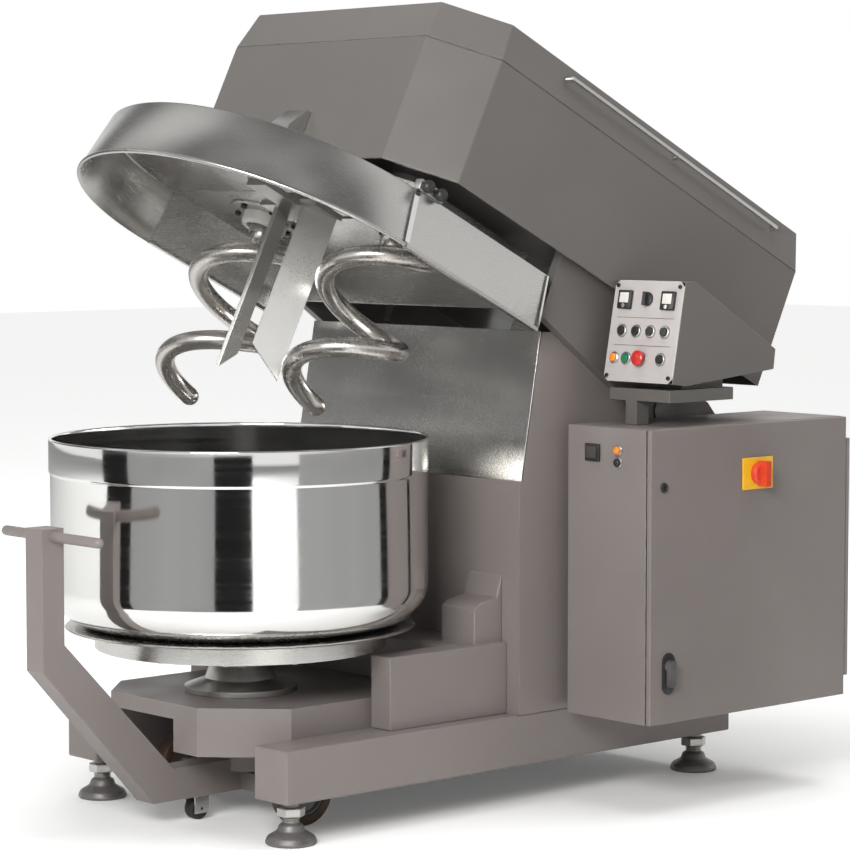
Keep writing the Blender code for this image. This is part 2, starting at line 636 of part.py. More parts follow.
def build_tools(head):
    for side, x in (("left", -TOOL_X), ("right", TOOL_X)):
        base = (x, TOOL_Y, 0)
        axis = empty(f"tool_axis_{side}", head, base)
        hub = turn([(0, 0.1225), (0.034, 0.1225), (0.040, 0.130), (0.044, 0.150), (0.044, 0.205),
                    (SPINDLE_RADIUS, 0.210), (SPINDLE_RADIUS, 0.400), (0, 0.400)], segments=24)
        piece(f"spindle_{side}", hub, WHITE, axis)
        coil = sweep([Vector(p) - Vector(base) for p in spiral_path(x)], TUBE_RADIUS, 8, True)
        piece(f"spiral_{side}", coil, STEEL, axis)
        bore = SPINDLE_RADIUS + GAP
        pulley = turn([(bore, 0.310), (0.050, 0.310), (0.050, 0.322), (PULLEY_RADIUS, 0.322),
                       (PULLEY_RADIUS, 0.372), (0.050, 0.372), (bore, 0.390)], segments=28)
        piece(f"spindle_pulley_{side}", pulley, CAST, axis)


def breaker_bar(side, inner_end, outer_end):
    """Flat bar on one side of the middle; its lower edge slopes between the two given heights."""
    inner = Vector((side * BAR_INNER.x, BAR_INNER.y))
    outer = Vector((side * BAR_OUTER.x, BAR_OUTER.y))
    across = (outer - inner).normalized()
    half = Vector((-across.y, across.x)) * BAR_THICK / 2
    plan = [inner - half, outer - half, outer + half, inner + half]
    lower = [inner_end, outer_end, outer_end, inner_end]
    return loft([[(*p, z) for p, z in zip(plan, lower)], [(*p, BAR_TOP) for p in plan]])


def build_breaker(head):
    """Two breaker bars under a cross plate, carried by a bracket bolted to the front of the head."""
    bars = [breaker_bar(-1, BAR_TIP, BAR_HEEL), breaker_bar(1, BAR_HEEL, BAR_TIP)]
    cross = box((-0.115, 0.010, 0.120), (0.115, 0.110, 0.136))
    arm = box((-0.040, -0.108, 0.120), (0.040, 0.020, 0.136))
    bracket = prism([(-0.108, 0.122), (-0.094, 0.122), (-0.094, 0.205), (-0.0545, 0.235), (-0.0545, 0.360),
                     (-0.068, 0.360), (-0.108, 0.300)], "x", -0.042, 0.042)
    piece("breaker_blade", join(cross, arm, bracket, *bars), STEEL, head)


def build_head_drive(head):
    motor_axis = empty("motor_axis", head, (0, MOTOR_Y, 0))
    motor = turn([(0, 0), (0.120, 0), (0.130, 0.010), (0.130, 0.200), (0.090, 0.240), (0, 0.240)],
                 (0, MOTOR_Y, 0.401 + GAP))
    piece("head_motor", motor, PAINT, head)
    pulley = turn([(0, 0.300), (0.025, 0.300), (0.025, 0.322), (MOTOR_PULLEY_RADIUS, 0.322),
                   (MOTOR_PULLEY_RADIUS, 0.372), (0.020, 0.372), (0.020, 0.398), (0, 0.398)], segments=20)
    piece("motor_pulley", pulley, CAST, motor_axis)
    for side, x, low in (("left", -TOOL_X, 0.326), ("right", TOOL_X, 0.350)):
        loop = belt((x, TOOL_Y), PULLEY_RADIUS, (0, MOTOR_Y), MOTOR_PULLEY_RADIUS, low)
        piece(f"drive_belt_{side}", loop, RUBBER, head)


# ---------------------------------------------------------------- bowl and trolley

def build_bowl(trolley):
    bowl_axis = empty("bowl_axis", trolley)
    corner = 0.110
    wall = RIM_RADIUS - 0.004
    outer = [(0, BOWL_FLOOR), (wall - corner, BOWL_FLOOR)]
    for k in range(1, 5):
        a = pi / 2 * k / 4
        outer.append((wall - corner + corner * sin(a), BOWL_FLOOR + corner * (1 - cos(a))))
    outer += [(wall, 0.905), (RIM_RADIUS, 0.910), (RIM_RADIUS, RIM_TOP)]
    small = corner - BOWL_WALL
    inner = [(wall - BOWL_WALL, RIM_TOP)]
    for k in range(4, 0, -1):
        a = pi / 2 * k / 4
        inner.append((wall - corner + small * sin(a), BOWL_FLOOR + BOWL_WALL + small * (1 - cos(a))))
    inner += [(wall - corner, BOWL_FLOOR + BOWL_WALL), (0, BOWL_FLOOR + BOWL_WALL)]
    piece("bowl", turn(outer + inner, segments=40), POLISHED, bowl_axis)
    base = turn([(0, 0.405), (0.100, 0.405), (0.140, 0.440), (0.240, 0.480), (0.300, 0.484),
                 (0.300, RING_BOTTOM), (RING_RADIUS, RING_BOTTOM), (RING_RADIUS, 0.4972), (0.455, 0.4972),
                 (0.462, 0.5008), (0.455, 0.5047), (0, 0.5047)])
    piece("bowl_base", base, STEEL, bowl_axis)


def build_trolley(trolley):
    """Trolley with its push handle, the bearing under the bowl, two wheels and a front caster."""
    post = [(POST_FRONT, 0.800), (POST_FRONT, 0.440), (-0.317, 0.066), (0.340, 0.066), (0.340, 0.150),
            (-0.252, 0.150), (-0.590, 0.505), (-0.590, 0.800)]
    beam = prism(post, "x", -0.036, 0.036)
    cross = [box((-0.215, y - 0.030, 0.066), (0.215, y + 0.030, 0.115)) for y in (0.0, 0.290)]
    pedestal = rod(0.110, 0.120, 0.290, (0, 0.040, 0))
    deck_outline = [(-0.210, -0.270), (0.160, -0.270), (0.330, -0.100), (0.330, 0.385), (-0.330, 0.385),
                    (-0.330, -0.150)]
    deck = prism(deck_outline, "z", 0.285, 0.325)
    skirt_outline = [(0.060, -0.270), (0.160, -0.270), (0.330, -0.100), (0.330, 0.385), (0.322, 0.385),
                     (0.322, -0.097), (0.157, -0.262), (0.060, -0.262)]
    apron = prism(skirt_outline, "z", 0.200, 0.300)
    axle = rod(0.014, -0.290, 0.290, (0, 0.0, WHEEL_RADIUS), "x", 16)
    bore = rod(GRIP_RADIUS + GAP + 0.0001, -0.1, 0.1, GRIP, "x", 16)
    frame = cut(join(beam, *cross, pedestal, deck, apron, axle), bore)
    piece("trolley_frame", frame, PAINT, trolley)
    piece("trolley_handle", rod(GRIP_RADIUS, -0.180, 0.240, GRIP, "x", 16), STEEL, trolley)
    bearing = turn([(0, 0.3253), (0.150, 0.3253), (0.150, 0.340), (0.095, 0.360), (0.080, 0.4045),
                    (0, 0.4045)])
    piece("bowl_bearing", bearing, STEEL, trolley)
    tread = [(0.0145, -0.024), (0.080, -0.024), (WHEEL_RADIUS, -0.016), (WHEEL_RADIUS, 0.016), (0.080, 0.024),
             (0.0145, 0.024)]
    for side, x in (("left", -WHEEL_X), ("right", WHEEL_X)):
        centre = (x, 0.0, WHEEL_RADIUS)
        piece(f"wheel_{side}", turn(tread, centre, "x", 24), RUBBER, trolley, centre)
    build_caster(trolley)


def build_caster(trolley):
    caster_y = CASTER_Y
    top = 0.0657  # just below the trolley's beam
    fork = cut(box((-0.024, caster_y - 0.022, 0.018), (0.024, caster_y + 0.022, top)),
               box((-0.018, caster_y - 0.04, 0.0), (0.018, caster_y + 0.04, 0.0625)),
               rod(0.0045, -0.05, 0.05, (0, caster_y, CASTER_RADIUS), "x", 12))
    piece("caster_fork", fork, STEEL, trolley, (0, caster_y, 0))
    wheel = turn([(0, -0.0225), (0.0042, -0.0225), (0.0042, -0.016), (CASTER_RADIUS - 0.003, -0.016),
                  (CASTER_RADIUS, -0.012), (CASTER_RADIUS, 0.012), (CASTER_RADIUS - 0.003, 0.016),
                  (0.0042, 0.016), (0.0042, 0.0225), (0, 0.0225)], (0, caster_y, CASTER_RADIUS), "x", 20)
    piece("caster_wheel", wheel, RUBBER, trolley, (0, caster_y, CASTER_RADIUS))


# ---------------------------------------------------------------- assembly

def centre_on_floor(assembly):
    """Shift the assembly so that the middle of its footprint is over the origin."""
    bpy.context.view_layer.update()
    points = [made.matrix_world @ vertex.co for made in bpy.data.objects if made.type == "MESH"
              for vertex in made.data.vertices]
    lows = [min(point[i] for point in points) for i in range(3)]
    highs = [max(point[i] for point in points) for i in range(3)]
    assembly.location = (-(lows[0] + highs[0]) / 2, -(lows[1] + highs[1]) / 2, -lows[2])
    bpy.context.view_layer.update()


def main():
    assembly = empty("assembly", None)
    machine = empty("machine", assembly)
    tilt = Euler((-HEAD_TILT, 0, 0))
    head_origin = PIVOT - tilt.to_matrix() @ head_pivot()
    head = empty("head", assembly, head_origin, tilt)
    trolley = empty("trolley", assembly)
    build_frame(machine)
    build_feet(machine)
    build_bowl_drive(machine)
    build_cabinet(machine)
    build_console(machine)
    build_lift(machine)
    build_head_shell(head)
    build_cover(head)
    build_tools(head)
    build_breaker(head)
    build_head_drive(head)
    build_bowl(trolley)
    build_trolley(trolley)
    centre_on_floor(assembly)


main()
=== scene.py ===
"""Looks of the tilting-head dough mixer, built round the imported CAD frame.

Lengths are in metres in the CAD's frame. Head pieces are modelled level in the head's own frame (origin at
the centre of the bowl cover's lip, +Y to the rear) and placed with the HEAD matrix.
"""

import json
from math import cos, pi, radians, sin

import bmesh
import bpy
from mathutils import Matrix, Vector


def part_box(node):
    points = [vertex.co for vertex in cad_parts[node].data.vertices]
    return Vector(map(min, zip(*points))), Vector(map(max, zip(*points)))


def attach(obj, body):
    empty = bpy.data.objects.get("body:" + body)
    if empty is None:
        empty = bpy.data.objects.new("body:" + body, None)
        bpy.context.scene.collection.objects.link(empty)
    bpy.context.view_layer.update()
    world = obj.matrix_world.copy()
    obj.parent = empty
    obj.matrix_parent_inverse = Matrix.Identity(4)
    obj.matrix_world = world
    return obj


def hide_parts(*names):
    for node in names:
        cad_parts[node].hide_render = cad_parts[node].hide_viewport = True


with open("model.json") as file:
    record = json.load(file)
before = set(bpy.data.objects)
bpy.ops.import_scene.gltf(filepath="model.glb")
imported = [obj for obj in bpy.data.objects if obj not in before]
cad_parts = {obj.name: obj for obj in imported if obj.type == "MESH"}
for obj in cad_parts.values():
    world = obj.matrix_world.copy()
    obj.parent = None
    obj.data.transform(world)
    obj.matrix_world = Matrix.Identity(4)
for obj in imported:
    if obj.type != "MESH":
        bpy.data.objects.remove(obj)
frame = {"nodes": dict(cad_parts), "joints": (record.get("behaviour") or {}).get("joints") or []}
NODES = frame["nodes"]
JOINTS = {joint["name"]: joint for joint in frame["joints"]}
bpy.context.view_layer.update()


def joint_place(name):
    return Vector(JOINTS[name]["pos_m"])


# ---------------------------------------------------------------- places taken from the frame

BOWL_AXIS = joint_place("bowl_spin")
BOWL_AXIS.z = 0.0
BOWL_LOW, BOWL_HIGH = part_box("bowl")
RIM_RADIUS = (BOWL_HIGH.x - BOWL_LOW.x) / 2
RIM_TOP = BOWL_HIGH.z

TOOL_LEFT = joint_place("spiral_spin_left")
TOOL_RIGHT = joint_place("spiral_spin_right")
TOOL_X = (TOOL_RIGHT - TOOL_LEFT).length / 2
TOOL_Y = 0.160  # the spindles stand this far behind the cover's centre
HEAD_UP = Vector(JOINTS["spiral_spin_left"]["axis"])
HEAD_SIDE = Vector((1, 0, 0))
HEAD_BACK = HEAD_UP.cross(HEAD_SIDE)
HEAD_ORIGIN = (TOOL_LEFT + TOOL_RIGHT) / 2 - HEAD_BACK * TOOL_Y
HEAD = Matrix.Translation(HEAD_ORIGIN) @ Matrix((HEAD_SIDE, HEAD_BACK, HEAD_UP)).transposed().to_4x4()

COVER_LIP = 0.534  # radius of the bowl cover at its lip
COVER_TOP = 0.504  # and at its top
COVER_HEIGHT = 0.161
COVER_REAR = 0.514  # the cover's rear edge, behind its centre

PANEL_AXIS = JOINTS["selector_turn"]["axis"]
PANEL_OUT = Vector(PANEL_AXIS)
PANEL_UP = Vector((0, 0, 1)) - PANEL_OUT * PANEL_AXIS[2]
PANEL_UP.normalize()
SELECTOR_HEIGHT = 0.086  # the selector sits this far above the plate's middle
PANEL_MIDDLE = joint_place("selector_turn") - PANEL_UP * SELECTOR_HEIGHT
PANEL_TURN = Matrix((Vector((1, 0, 0)), PANEL_UP, PANEL_OUT)).transposed().to_4x4()
PANEL = Matrix.Translation(PANEL_MIDDLE) @ PANEL_TURN
PLATE_FACE = 0.004  # the control plate's outer face, out from the panel plane
GAP = 0.0002  # stands between a fitted piece and the face that it sits on
DOOR_GAP = 0.0003
SIDES = (("left", -1), ("right", 1))
CAMERA_BEARING = -38.5  # degrees from +X to the camera, about the bowl axis


def machine_point(x, y, z):
    """A point given from the floor under the bowl axis."""
    return BOWL_AXIS + Vector((x, y, z))


# ---------------------------------------------------------------- meshes

def finish_mesh(name, bm, look, body, place=None, smooth_angle=35):
    bmesh.ops.recalc_face_normals(bm, faces=bm.faces)
    mesh = bpy.data.meshes.new(name)
    bm.to_mesh(mesh)
    bm.free()
    mesh.materials.append(look)
    mesh.shade_smooth()
    mesh.set_sharp_from_angle(angle=radians(smooth_angle))
    made = bpy.data.objects.new(name, mesh)
    bpy.context.scene.collection.objects.link(made)
    if place is not None:
        made.matrix_world = place
    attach(made, body)
    return made


def loft(loops):
    """Skin through equal-length loops of points, closed with a face at each end."""
    bm = bmesh.new()
    rings = [[bm.verts.new(point) for point in loop] for loop in loops]
    count = len(rings[0])
    for lower, upper in zip(rings, rings[1:]):
        for i in range(count):
            j = (i + 1) % count
            bm.faces.new((lower[i], lower[j], upper[j], upper[i]))
    bm.faces.new(rings[0])
    bm.faces.new(rings[-1])
    return bm


def facing(axis):
    """Matrix that turns +Z to an axis direction."""
    return Vector((0, 0, 1)).rotation_difference(Vector(axis)).to_matrix()


def turn(profile, centre=(0, 0, 0), axis=(0, 0, 1), segments=64):
    """Turned solid; the (radius, along) profile runs from axis to axis or closes on itself."""
    bm = bmesh.new()
    centre = Vector(centre)
    spin = facing(axis)
    rings = []
    for radius, along in profile:
        steps = 1 if radius == 0 else segments
        angles = [2 * pi * k / segments for k in range(steps)]
        spots = [Vector((radius * cos(angle), radius * sin(angle), along)) for angle in angles]
        rings.append([bm.verts.new(centre + spin @ spot) for spot in spots])
    pairs = list(zip(rings, rings[1:]))
    if profile[0][0] > 0:
        pairs.append((rings[-1], rings[0]))
    for first, second in pairs:
        for k in range(segments):
            n = (k + 1) % segments
            corners = [first[k % len(first)], first[n % len(first)],
                       second[n % len(second)], second[k % len(second)]]
            corners = list(dict.fromkeys(corners))
            if len(corners) > 2:
                bm.faces.new(corners)
    return bm


def rounded(corner_points, radius, steps=4):
    """Profile whose inner corners are replaced with short arcs; the two end points stay."""
    points = [Vector(p) for p in corner_points]
    made = [tuple(points[0])]
    for before, here, after in zip(points, points[1:], points[2:]):
        reach = min(radius, (before - here).length * 0.45, (after - here).length * 0.45)
        start = here + (before - here).normalized() * reach
        end = here + (after - here).normalized() * reach
        for k in range(steps + 1):
            t = k / steps
            made.append(tuple(start * (1 - t) ** 2 + here * 2 * t * (1 - t) + end * t ** 2))
    made.append(tuple(points[-1]))
    return made


def block(low, high, bevel=0.0, segments=3):
    """Box between two corners, its edges rounded."""
    bm = bmesh.new()
    low = Vector(low)
    high = Vector(high)
    place = Matrix.Translation((low + high) / 2) @ Matrix.Diagonal((*(high - low), 1.0))
    made = bmesh.ops.create_cube(bm, size=1.0, matrix=place)
    if bevel:
        edges = list({edge for vert in made["verts"] for edge in vert.link_edges})
        bmesh.ops.bevel(bm, geom=edges, offset=bevel, segments=segments, profile=0.5, affect="EDGES")
    return bm


def sweep(path, radius, sides=16, round_ends=(False, False)):
    """Round bar along a path, its rings carried along without twist."""
    path = [Vector(point) for point in path]
    radii = [radius] * len(path)
    angles = (25, 50, 70, 84)
    if round_ends[1]:
        heading = (path[-1] - path[-2]).normalized()
        tip = path[-1]
        for angle in angles:
            path.append(tip + heading * radius * sin(radians(angle)))
            radii.append(radius * cos(radians(angle)))
    if round_ends[0]:
        heading = (path[0] - path[1]).normalized()
        tip = path[0]
        for angle in angles:
            path.insert(0, tip + heading * radius * sin(radians(angle)))
            radii.insert(0, radius * cos(radians(angle)))
    loops = []
    normal = None
    for i, point in enumerate(path):
        heading = (path[min(i + 1, len(path) - 1)] - path[max(i - 1, 0)]).normalized()
        if normal is None:
            normal = heading.orthogonal()
        normal = (normal - heading * normal.dot(heading)).normalized()
        side = heading.cross(normal)
        loops.append([point + (normal * cos(2 * pi * k / sides) + side * sin(2 * pi * k / sides)) * radii[i]
                      for k in range(sides)])
    return loft(loops)


def part_turn(profile, start, end, steps):
    """Closed (radius, height) outline turned through part of a circle about +Z."""
    angles = [start + (end - start) * k / steps for k in range(steps + 1)]
    return loft([[(r * cos(a), r * sin(a), z) for r, z in profile] for a in angles])


def bolt(name, spot, axis, radius, look, body, place=None):
    """Cap screw with rounded edges and a round recess in its head."""
    head = radius * 0.9
    recess = head * 0.45
    profile = rounded([(0, 0), (radius, 0), (radius, head), (radius * 0.55, head)], radius * 0.2, 3)
    profile += [(radius * 0.5, recess), (0, recess)]
    finish_mesh(name, turn(profile, spot, axis, segments=18), look, body, place)


# ---------------------------------------------------------------- materials

class Look:
    """A Principled material under construction, with short helpers for its texture nodes."""

    def __init__(self, name, colour, roughness, metallic=0.0, specular=0.5):
        self.material = bpy.data.materials.new(name)
        self.material.use_nodes = True
        self.tree = self.material.node_tree
        self.shader = self.tree.nodes["Principled BSDF"]
        self.colour = colour
        self.roughness = roughness
        self.shader.inputs["Base Color"].default_value = (*colour, 1)
        self.shader.inputs["Roughness"].default_value = roughness
        self.shader.inputs["Metallic"].default_value = metallic
        self.shader.inputs["Specular IOR Level"].default_value = specular
        self.height = None
        self.place = self.tree.nodes.new("ShaderNodeTexCoord").outputs["Object"]

    def node(self, kind, **values):
        made = self.tree.nodes.new(kind)
        for key, value in values.items():
            setattr(made, key, value)
        return made

    def link(self, source, target):
        self.tree.links.new(source, target)

    def noise(self, scale, detail=3.0, stretch=(1, 1, 1), rough=0.5):
        mapping = self.node("ShaderNodeMapping")
        mapping.inputs["Scale"].default_value = stretch
        made = self.node("ShaderNodeTexNoise")
        made.inputs["Scale"].default_value = scale
        made.inputs["Detail"].default_value = detail
        made.inputs["Roughness"].default_value = rough
        self.link(self.place, mapping.inputs["Vector"])
        self.link(mapping.outputs["Vector"], made.inputs["Vector"])
        return made.outputs["Fac"]

    def spread(self, value, low, high, start=0.3, end=0.7):
        made = self.node("ShaderNodeMapRange")
        made.inputs["From Min"].default_value = start
        made.inputs["From Max"].default_value = end
        made.inputs["To Min"].default_value = low
        made.inputs["To Max"].default_value = high
        self.link(value, made.inputs["Value"])
        return made.outputs["Result"]

    def tint(self, fac, low, high):
        """Blend the base colour between two multiples of itself."""
        made = self.node("ShaderNodeMix", data_type="RGBA")
        made.inputs["A"].default_value = (*[c * low for c in self.colour], 1)
        made.inputs["B"].default_value = (*[c * high for c in self.colour], 1)
        self.link(fac, made.inputs["Factor"])
        self.link(made.outputs["Result"], self.shader.inputs["Base Color"])
        return made

    def rough(self, fac, low, high):
        self.link(self.spread(fac, low, high), self.shader.inputs["Roughness"])

    def bump(self, height, strength, distance):
        made = self.node("ShaderNodeBump")
        made.inputs["Strength"].default_value = strength
        made.inputs["Distance"].default_value = distance
        self.link(height, made.inputs["Height"])
        if self.height is not None:
            self.link(self.height, made.inputs["Normal"])
        self.height = made.outputs["Normal"]
        self.link(self.height, self.shader.inputs["Normal"])

    def painted_edge_highlight(self, mix, radius, colour):
        """Painted highlight along the edges: lighten the colour where the surface turns within a small
        radius, broken up with noise.
        """
        rounded_normal = self.node("ShaderNodeBevel", samples=4)
        rounded_normal.inputs["Radius"].default_value = radius
        geometry = self.node("ShaderNodeNewGeometry")
        dot = self.node("ShaderNodeVectorMath", operation="DOT_PRODUCT")
        self.link(rounded_normal.outputs["Normal"], dot.inputs[0])
        self.link(geometry.outputs["Normal"], dot.inputs[1])
        # where the painted edge highlight lies
        highlight_mask = self.spread(dot.outputs["Value"], 0.75, 0.0, 0.80, 0.985)
        broken = self.node("ShaderNodeMath", operation="MULTIPLY")
        self.link(highlight_mask, broken.inputs[0])
        self.link(self.spread(self.noise(24, 4), 0.0, 1.0, 0.40, 0.62), broken.inputs[1])
        over = self.node("ShaderNodeMix", data_type="RGBA")
        over.inputs["B"].default_value = (*colour, 1)
        self.link(mix.outputs["Result"], over.inputs["A"])
        self.link(broken.outputs["Value"], over.inputs["Factor"])
        self.link(over.outputs["Result"], self.shader.inputs["Base Color"])


def paint_look(name, colour, roughness=0.40):
    """Powder coat: fine orange peel, cloudy gloss, and a painted highlight along the edges."""
    look = Look(name, colour, roughness)
    cloud = look.noise(2.2, 4)
    mix = look.tint(look.spread(cloud, 0, 1), 0.93, 1.07)
    look.rough(look.noise(5, 5), roughness - 0.06, roughness + 0.08)
    look.bump(look.noise(420, 2), 0.10, 0.0006)
    look.bump(look.noise(60, 2), 0.05, 0.0006)
    # painted highlight: the colour is lightened along the edges
    look.painted_edge_highlight(mix, 0.003, [min(c * 1.9, 1) for c in colour])
    return look.material


def brushed_look(name, colour, roughness, stretch, depth=0.05, scale=60):
    """Brushed steel: fine scratches along one direction, finger smudges in the gloss."""
    look = Look(name, colour, roughness, metallic=1.0)
    grain = look.noise(scale, 6, stretch, 0.7)
    smudge = look.noise(3.5, 5)
    look.tint(look.spread(grain, 0, 1), 0.95, 1.04)
    both = look.node("ShaderNodeMath", operation="ADD")
    look.link(look.spread(grain, -0.04, 0.04), both.inputs[0])
    look.link(look.spread(smudge, roughness - 0.03, roughness + 0.06), both.inputs[1])
    look.link(both.outputs["Value"], look.shader.inputs["Roughness"])
    look.bump(grain, depth, 0.0004)
    look.shader.inputs["Anisotropic"].default_value = 0.4
    return look.material


def polished_look():
    """Spun and polished bowl: mirror steel with faint turning rings and slow waves in the sheet."""
    look = Look("polished_bowl_steel", (0.82, 0.815, 0.80), 0.09, metallic=1.0)
    rings = look.noise(90, 3, (0.015, 0.015, 1.0), 0.6)
    waves = look.noise(5.0, 2, (1.0, 1.0, 0.25))
    look.rough(rings, 0.05, 0.13)
    look.bump(waves, 0.10, 0.008)
    look.bump(rings, 0.05, 0.0012)
    return look.material


def cast_look(name, colour, roughness=0.55, metallic=0.7):
    look = Look(name, colour, roughness, metallic=metallic)
    mix = look.tint(look.spread(look.noise(18, 6), 0, 1), 0.75, 1.2)
    look.rough(look.noise(30, 5), roughness - 0.12, roughness + 0.15)
    look.bump(look.noise(160, 5), 0.35, 0.0012)
    # painted highlight: the colour is lightened along the edges
    look.painted_edge_highlight(mix, 0.0025, [min(c * 2.2, 1) for c in colour])
    return look.material


def rubber_look(name, colour, roughness=0.75):
    look = Look(name, colour, roughness)
    look.tint(look.spread(look.noise(14, 5), 0, 1), 0.7, 1.5)
    look.rough(look.noise(20, 4), roughness - 0.15, roughness + 0.1)
    look.bump(look.noise(240, 4), 0.3, 0.0008)
    return look.material


def plastic_look(name, colour, roughness=0.35, coat=0.0):
    look = Look(name, colour, roughness)
    look.tint(look.spread(look.noise(9, 3), 0, 1), 0.94, 1.06)
    look.rough(look.noise(40, 3), roughness - 0.05, roughness + 0.08)
    look.bump(look.noise(700, 2), 0.08, 0.0003)
    look.shader.inputs["Coat Weight"].default_value = coat
    return look.material


def lens_look():
    look = Look("amber_lens", (0.85, 0.25, 0.02), 0.12)
    look.tint(look.spread(look.noise(120, 2), 0, 1), 0.8, 1.2)
    look.bump(look.noise(220, 1), 0.2, 0.0008)
    look.shader.inputs["Subsurface Weight"].default_value = 0.3
    look.shader.inputs["Coat Weight"].default_value = 0.6
    return look.material


def floor_look():
    """Pale floor; away from the machine it fades to the white of the background, for the camera only."""
    look = Look("studio_floor", (0.90, 0.90, 0.89), 0.9, specular=0.0)
    look.tint(look.spread(look.noise(0.6, 2), 0, 1), 0.99, 1.01)
    reach = look.node("ShaderNodeVectorMath", operation="LENGTH")
    look.link(look.place, reach.inputs[0])
    fade = look.spread(reach.outputs["Value"], 0.10, 0.62, 1.5, 5.0)
    rays = look.node("ShaderNodeLightPath")
    seen = look.node("ShaderNodeMath", operation="MULTIPLY")
    look.link(fade, seen.inputs[0])
    look.link(rays.outputs["Is Camera Ray"], seen.inputs[1])
    look.shader.inputs["Emission Color"].default_value = (1, 1, 1, 1)
    look.link(seen.outputs["Value"], look.shader.inputs["Emission Strength"])
    return look.material


GREY = paint_look("grey_powder_coat", (0.122, 0.112, 0.104), 0.34)
GREY_LIGHT = paint_look("grey_cabinet_coat", (0.200, 0.174, 0.165), 0.40)
DARK = paint_look("dark_paint", (0.050, 0.047, 0.043), 0.5)
STEEL_UP = brushed_look("steel_brushed_upright", (0.56, 0.55, 0.53), 0.24, (14, 14, 0.5))
STEEL_SIDE = brushed_look("steel_brushed_level", (0.58, 0.57, 0.55), 0.24, (0.5, 0.5, 14))
SATIN = brushed_look("steel_satin", (0.54, 0.53, 0.51), 0.30, (3, 3, 3), 0.03, 90)
TOOL_STEEL = brushed_look("tool_steel", (0.60, 0.57, 0.54), 0.25, (1, 1, 1), 0.08, 70)
POLISHED = polished_look()
CAST = cast_look("cast_iron", (0.17, 0.165, 0.16))
PAD = cast_look("foot_zinc", (0.20, 0.19, 0.185), 0.45, 0.6)
RUBBER = rubber_look("black_rubber", (0.022, 0.020, 0.019))
TYRE = rubber_look("brown_tyre", (0.050, 0.026, 0.015), 0.6)
BLACK = plastic_look("black_plastic", (0.018, 0.018, 0.019))
WHITE = plastic_look("white_plastic", (0.66, 0.64, 0.60), 0.4)
RED = plastic_look("red_plastic", (0.52, 0.020, 0.018), 0.30, 0.3)
ORANGE_RED = plastic_look("isolator_red", (0.62, 0.050, 0.020), 0.32, 0.2)
GREEN = plastic_look("green_plastic", (0.015, 0.16, 0.07), 0.30, 0.2)
YELLOW = plastic_look("yellow_plastic", (0.78, 0.42, 0.015), 0.35, 0.1)
PLATE = paint_look("panel_enamel", (0.46, 0.43, 0.42), 0.34)
AMBER = lens_look()


# ---------------------------------------------------------------- CAD nodes that stay

WELD_REACH = 0.00005


def dress(name, look, bevel):
    """Give a CAD node its material and small rounded edges."""
    node = NODES[name]
    node.data.materials.clear()
    node.data.materials.append(look)
    weld = node.modifiers.new("weld", "WELD")
    weld.merge_threshold = WELD_REACH
    edge = node.modifiers.new("rounded_edges", "BEVEL")
    edge.width = bevel
    edge.segments = 3
    edge.limit_method = "ANGLE"
    edge.angle_limit = radians(40)
    edge.use_clamp_overlap = True
    node.modifiers.new("even_shading", "WEIGHTED_NORMAL")


DRESSING = (  # look, width of the rounded edges, nodes
    (GREY_LIGHT, 0.006, ("base_frame", "column")),
    (GREY_LIGHT, 0.004, ("bowl_drive_housing", "trolley_frame")),
    (GREY_LIGHT, 0.003, ("door_hinge", "cabinet_body", "cabinet_door")),
    (GREY, 0.004, ("head_casing", "head_lid")),
    (GREY, 0.003, ("console_casing",)),
    (GREY, 0.002, ("head_frame",)),
    (DARK, 0.003, ("head_motor",)),
    (DARK, 0.002, ("cabinet_bracket",)),
    (PLATE, 0.001, ("control_plate",)),
    (STEEL_UP, 0.001, ("splash_panel",)),
    (STEEL_SIDE, 0.001, ("tool_plate", "cover_rear")),
    (SATIN, 0.0008, ("breaker_blade", "bowl_bearing", "caster_fork", "grab_rail")),
    (POLISHED, 0.001, ("lift_foot_pin", "lift_rod_left", "lift_rod_right")),
    (CAST, 0.003, ("pivot_shaft",)),
    (CAST, 0.001, ("bowl_drive_motor", "spindle_pulley_left", "spindle_pulley_right", "motor_pulley",
                   "lift_cylinder_left", "lift_cylinder_right", "door_latch")),
    (RUBBER, 0.001, ("bowl_drive_wheel", "drive_belt_left", "drive_belt_right", "caster_wheel")),
    (BLACK, 0.001, ("switchgear_plate", "speed_selector")),
    (WHITE, 0.002, ("spindle_left", "spindle_right")),
    (ORANGE_RED, 0.0045, ("isolator_knob",)),
)
BUTTONS = [joint.removesuffix("_press") for joint in JOINTS if joint.endswith("_press")]
BUTTON_LOOKS = {"start_button": GREEN, "stop_button": RED}
BUTTON_EDGE = 0.0015


def dress_frame():
    for look, bevel, names in DRESSING:
        for name in names:
            dress(name, look, bevel)
    for button in BUTTONS:
        dress(button, BUTTON_LOOKS.get(button, BLACK), BUTTON_EDGE)


# ---------------------------------------------------------------- bowl

BAND_BOTTOM = 0.906  # the deeper band round the rim starts here
HUB_BOTTOM = 0.405
RING_BOTTOM = 0.446
FLANGE_LOW, FLANGE_EDGE, FLANGE_TOP = 0.4972, 0.5008, 0.5045
BOLT_CIRCLE = 0.342
RING_BOLTS = 12


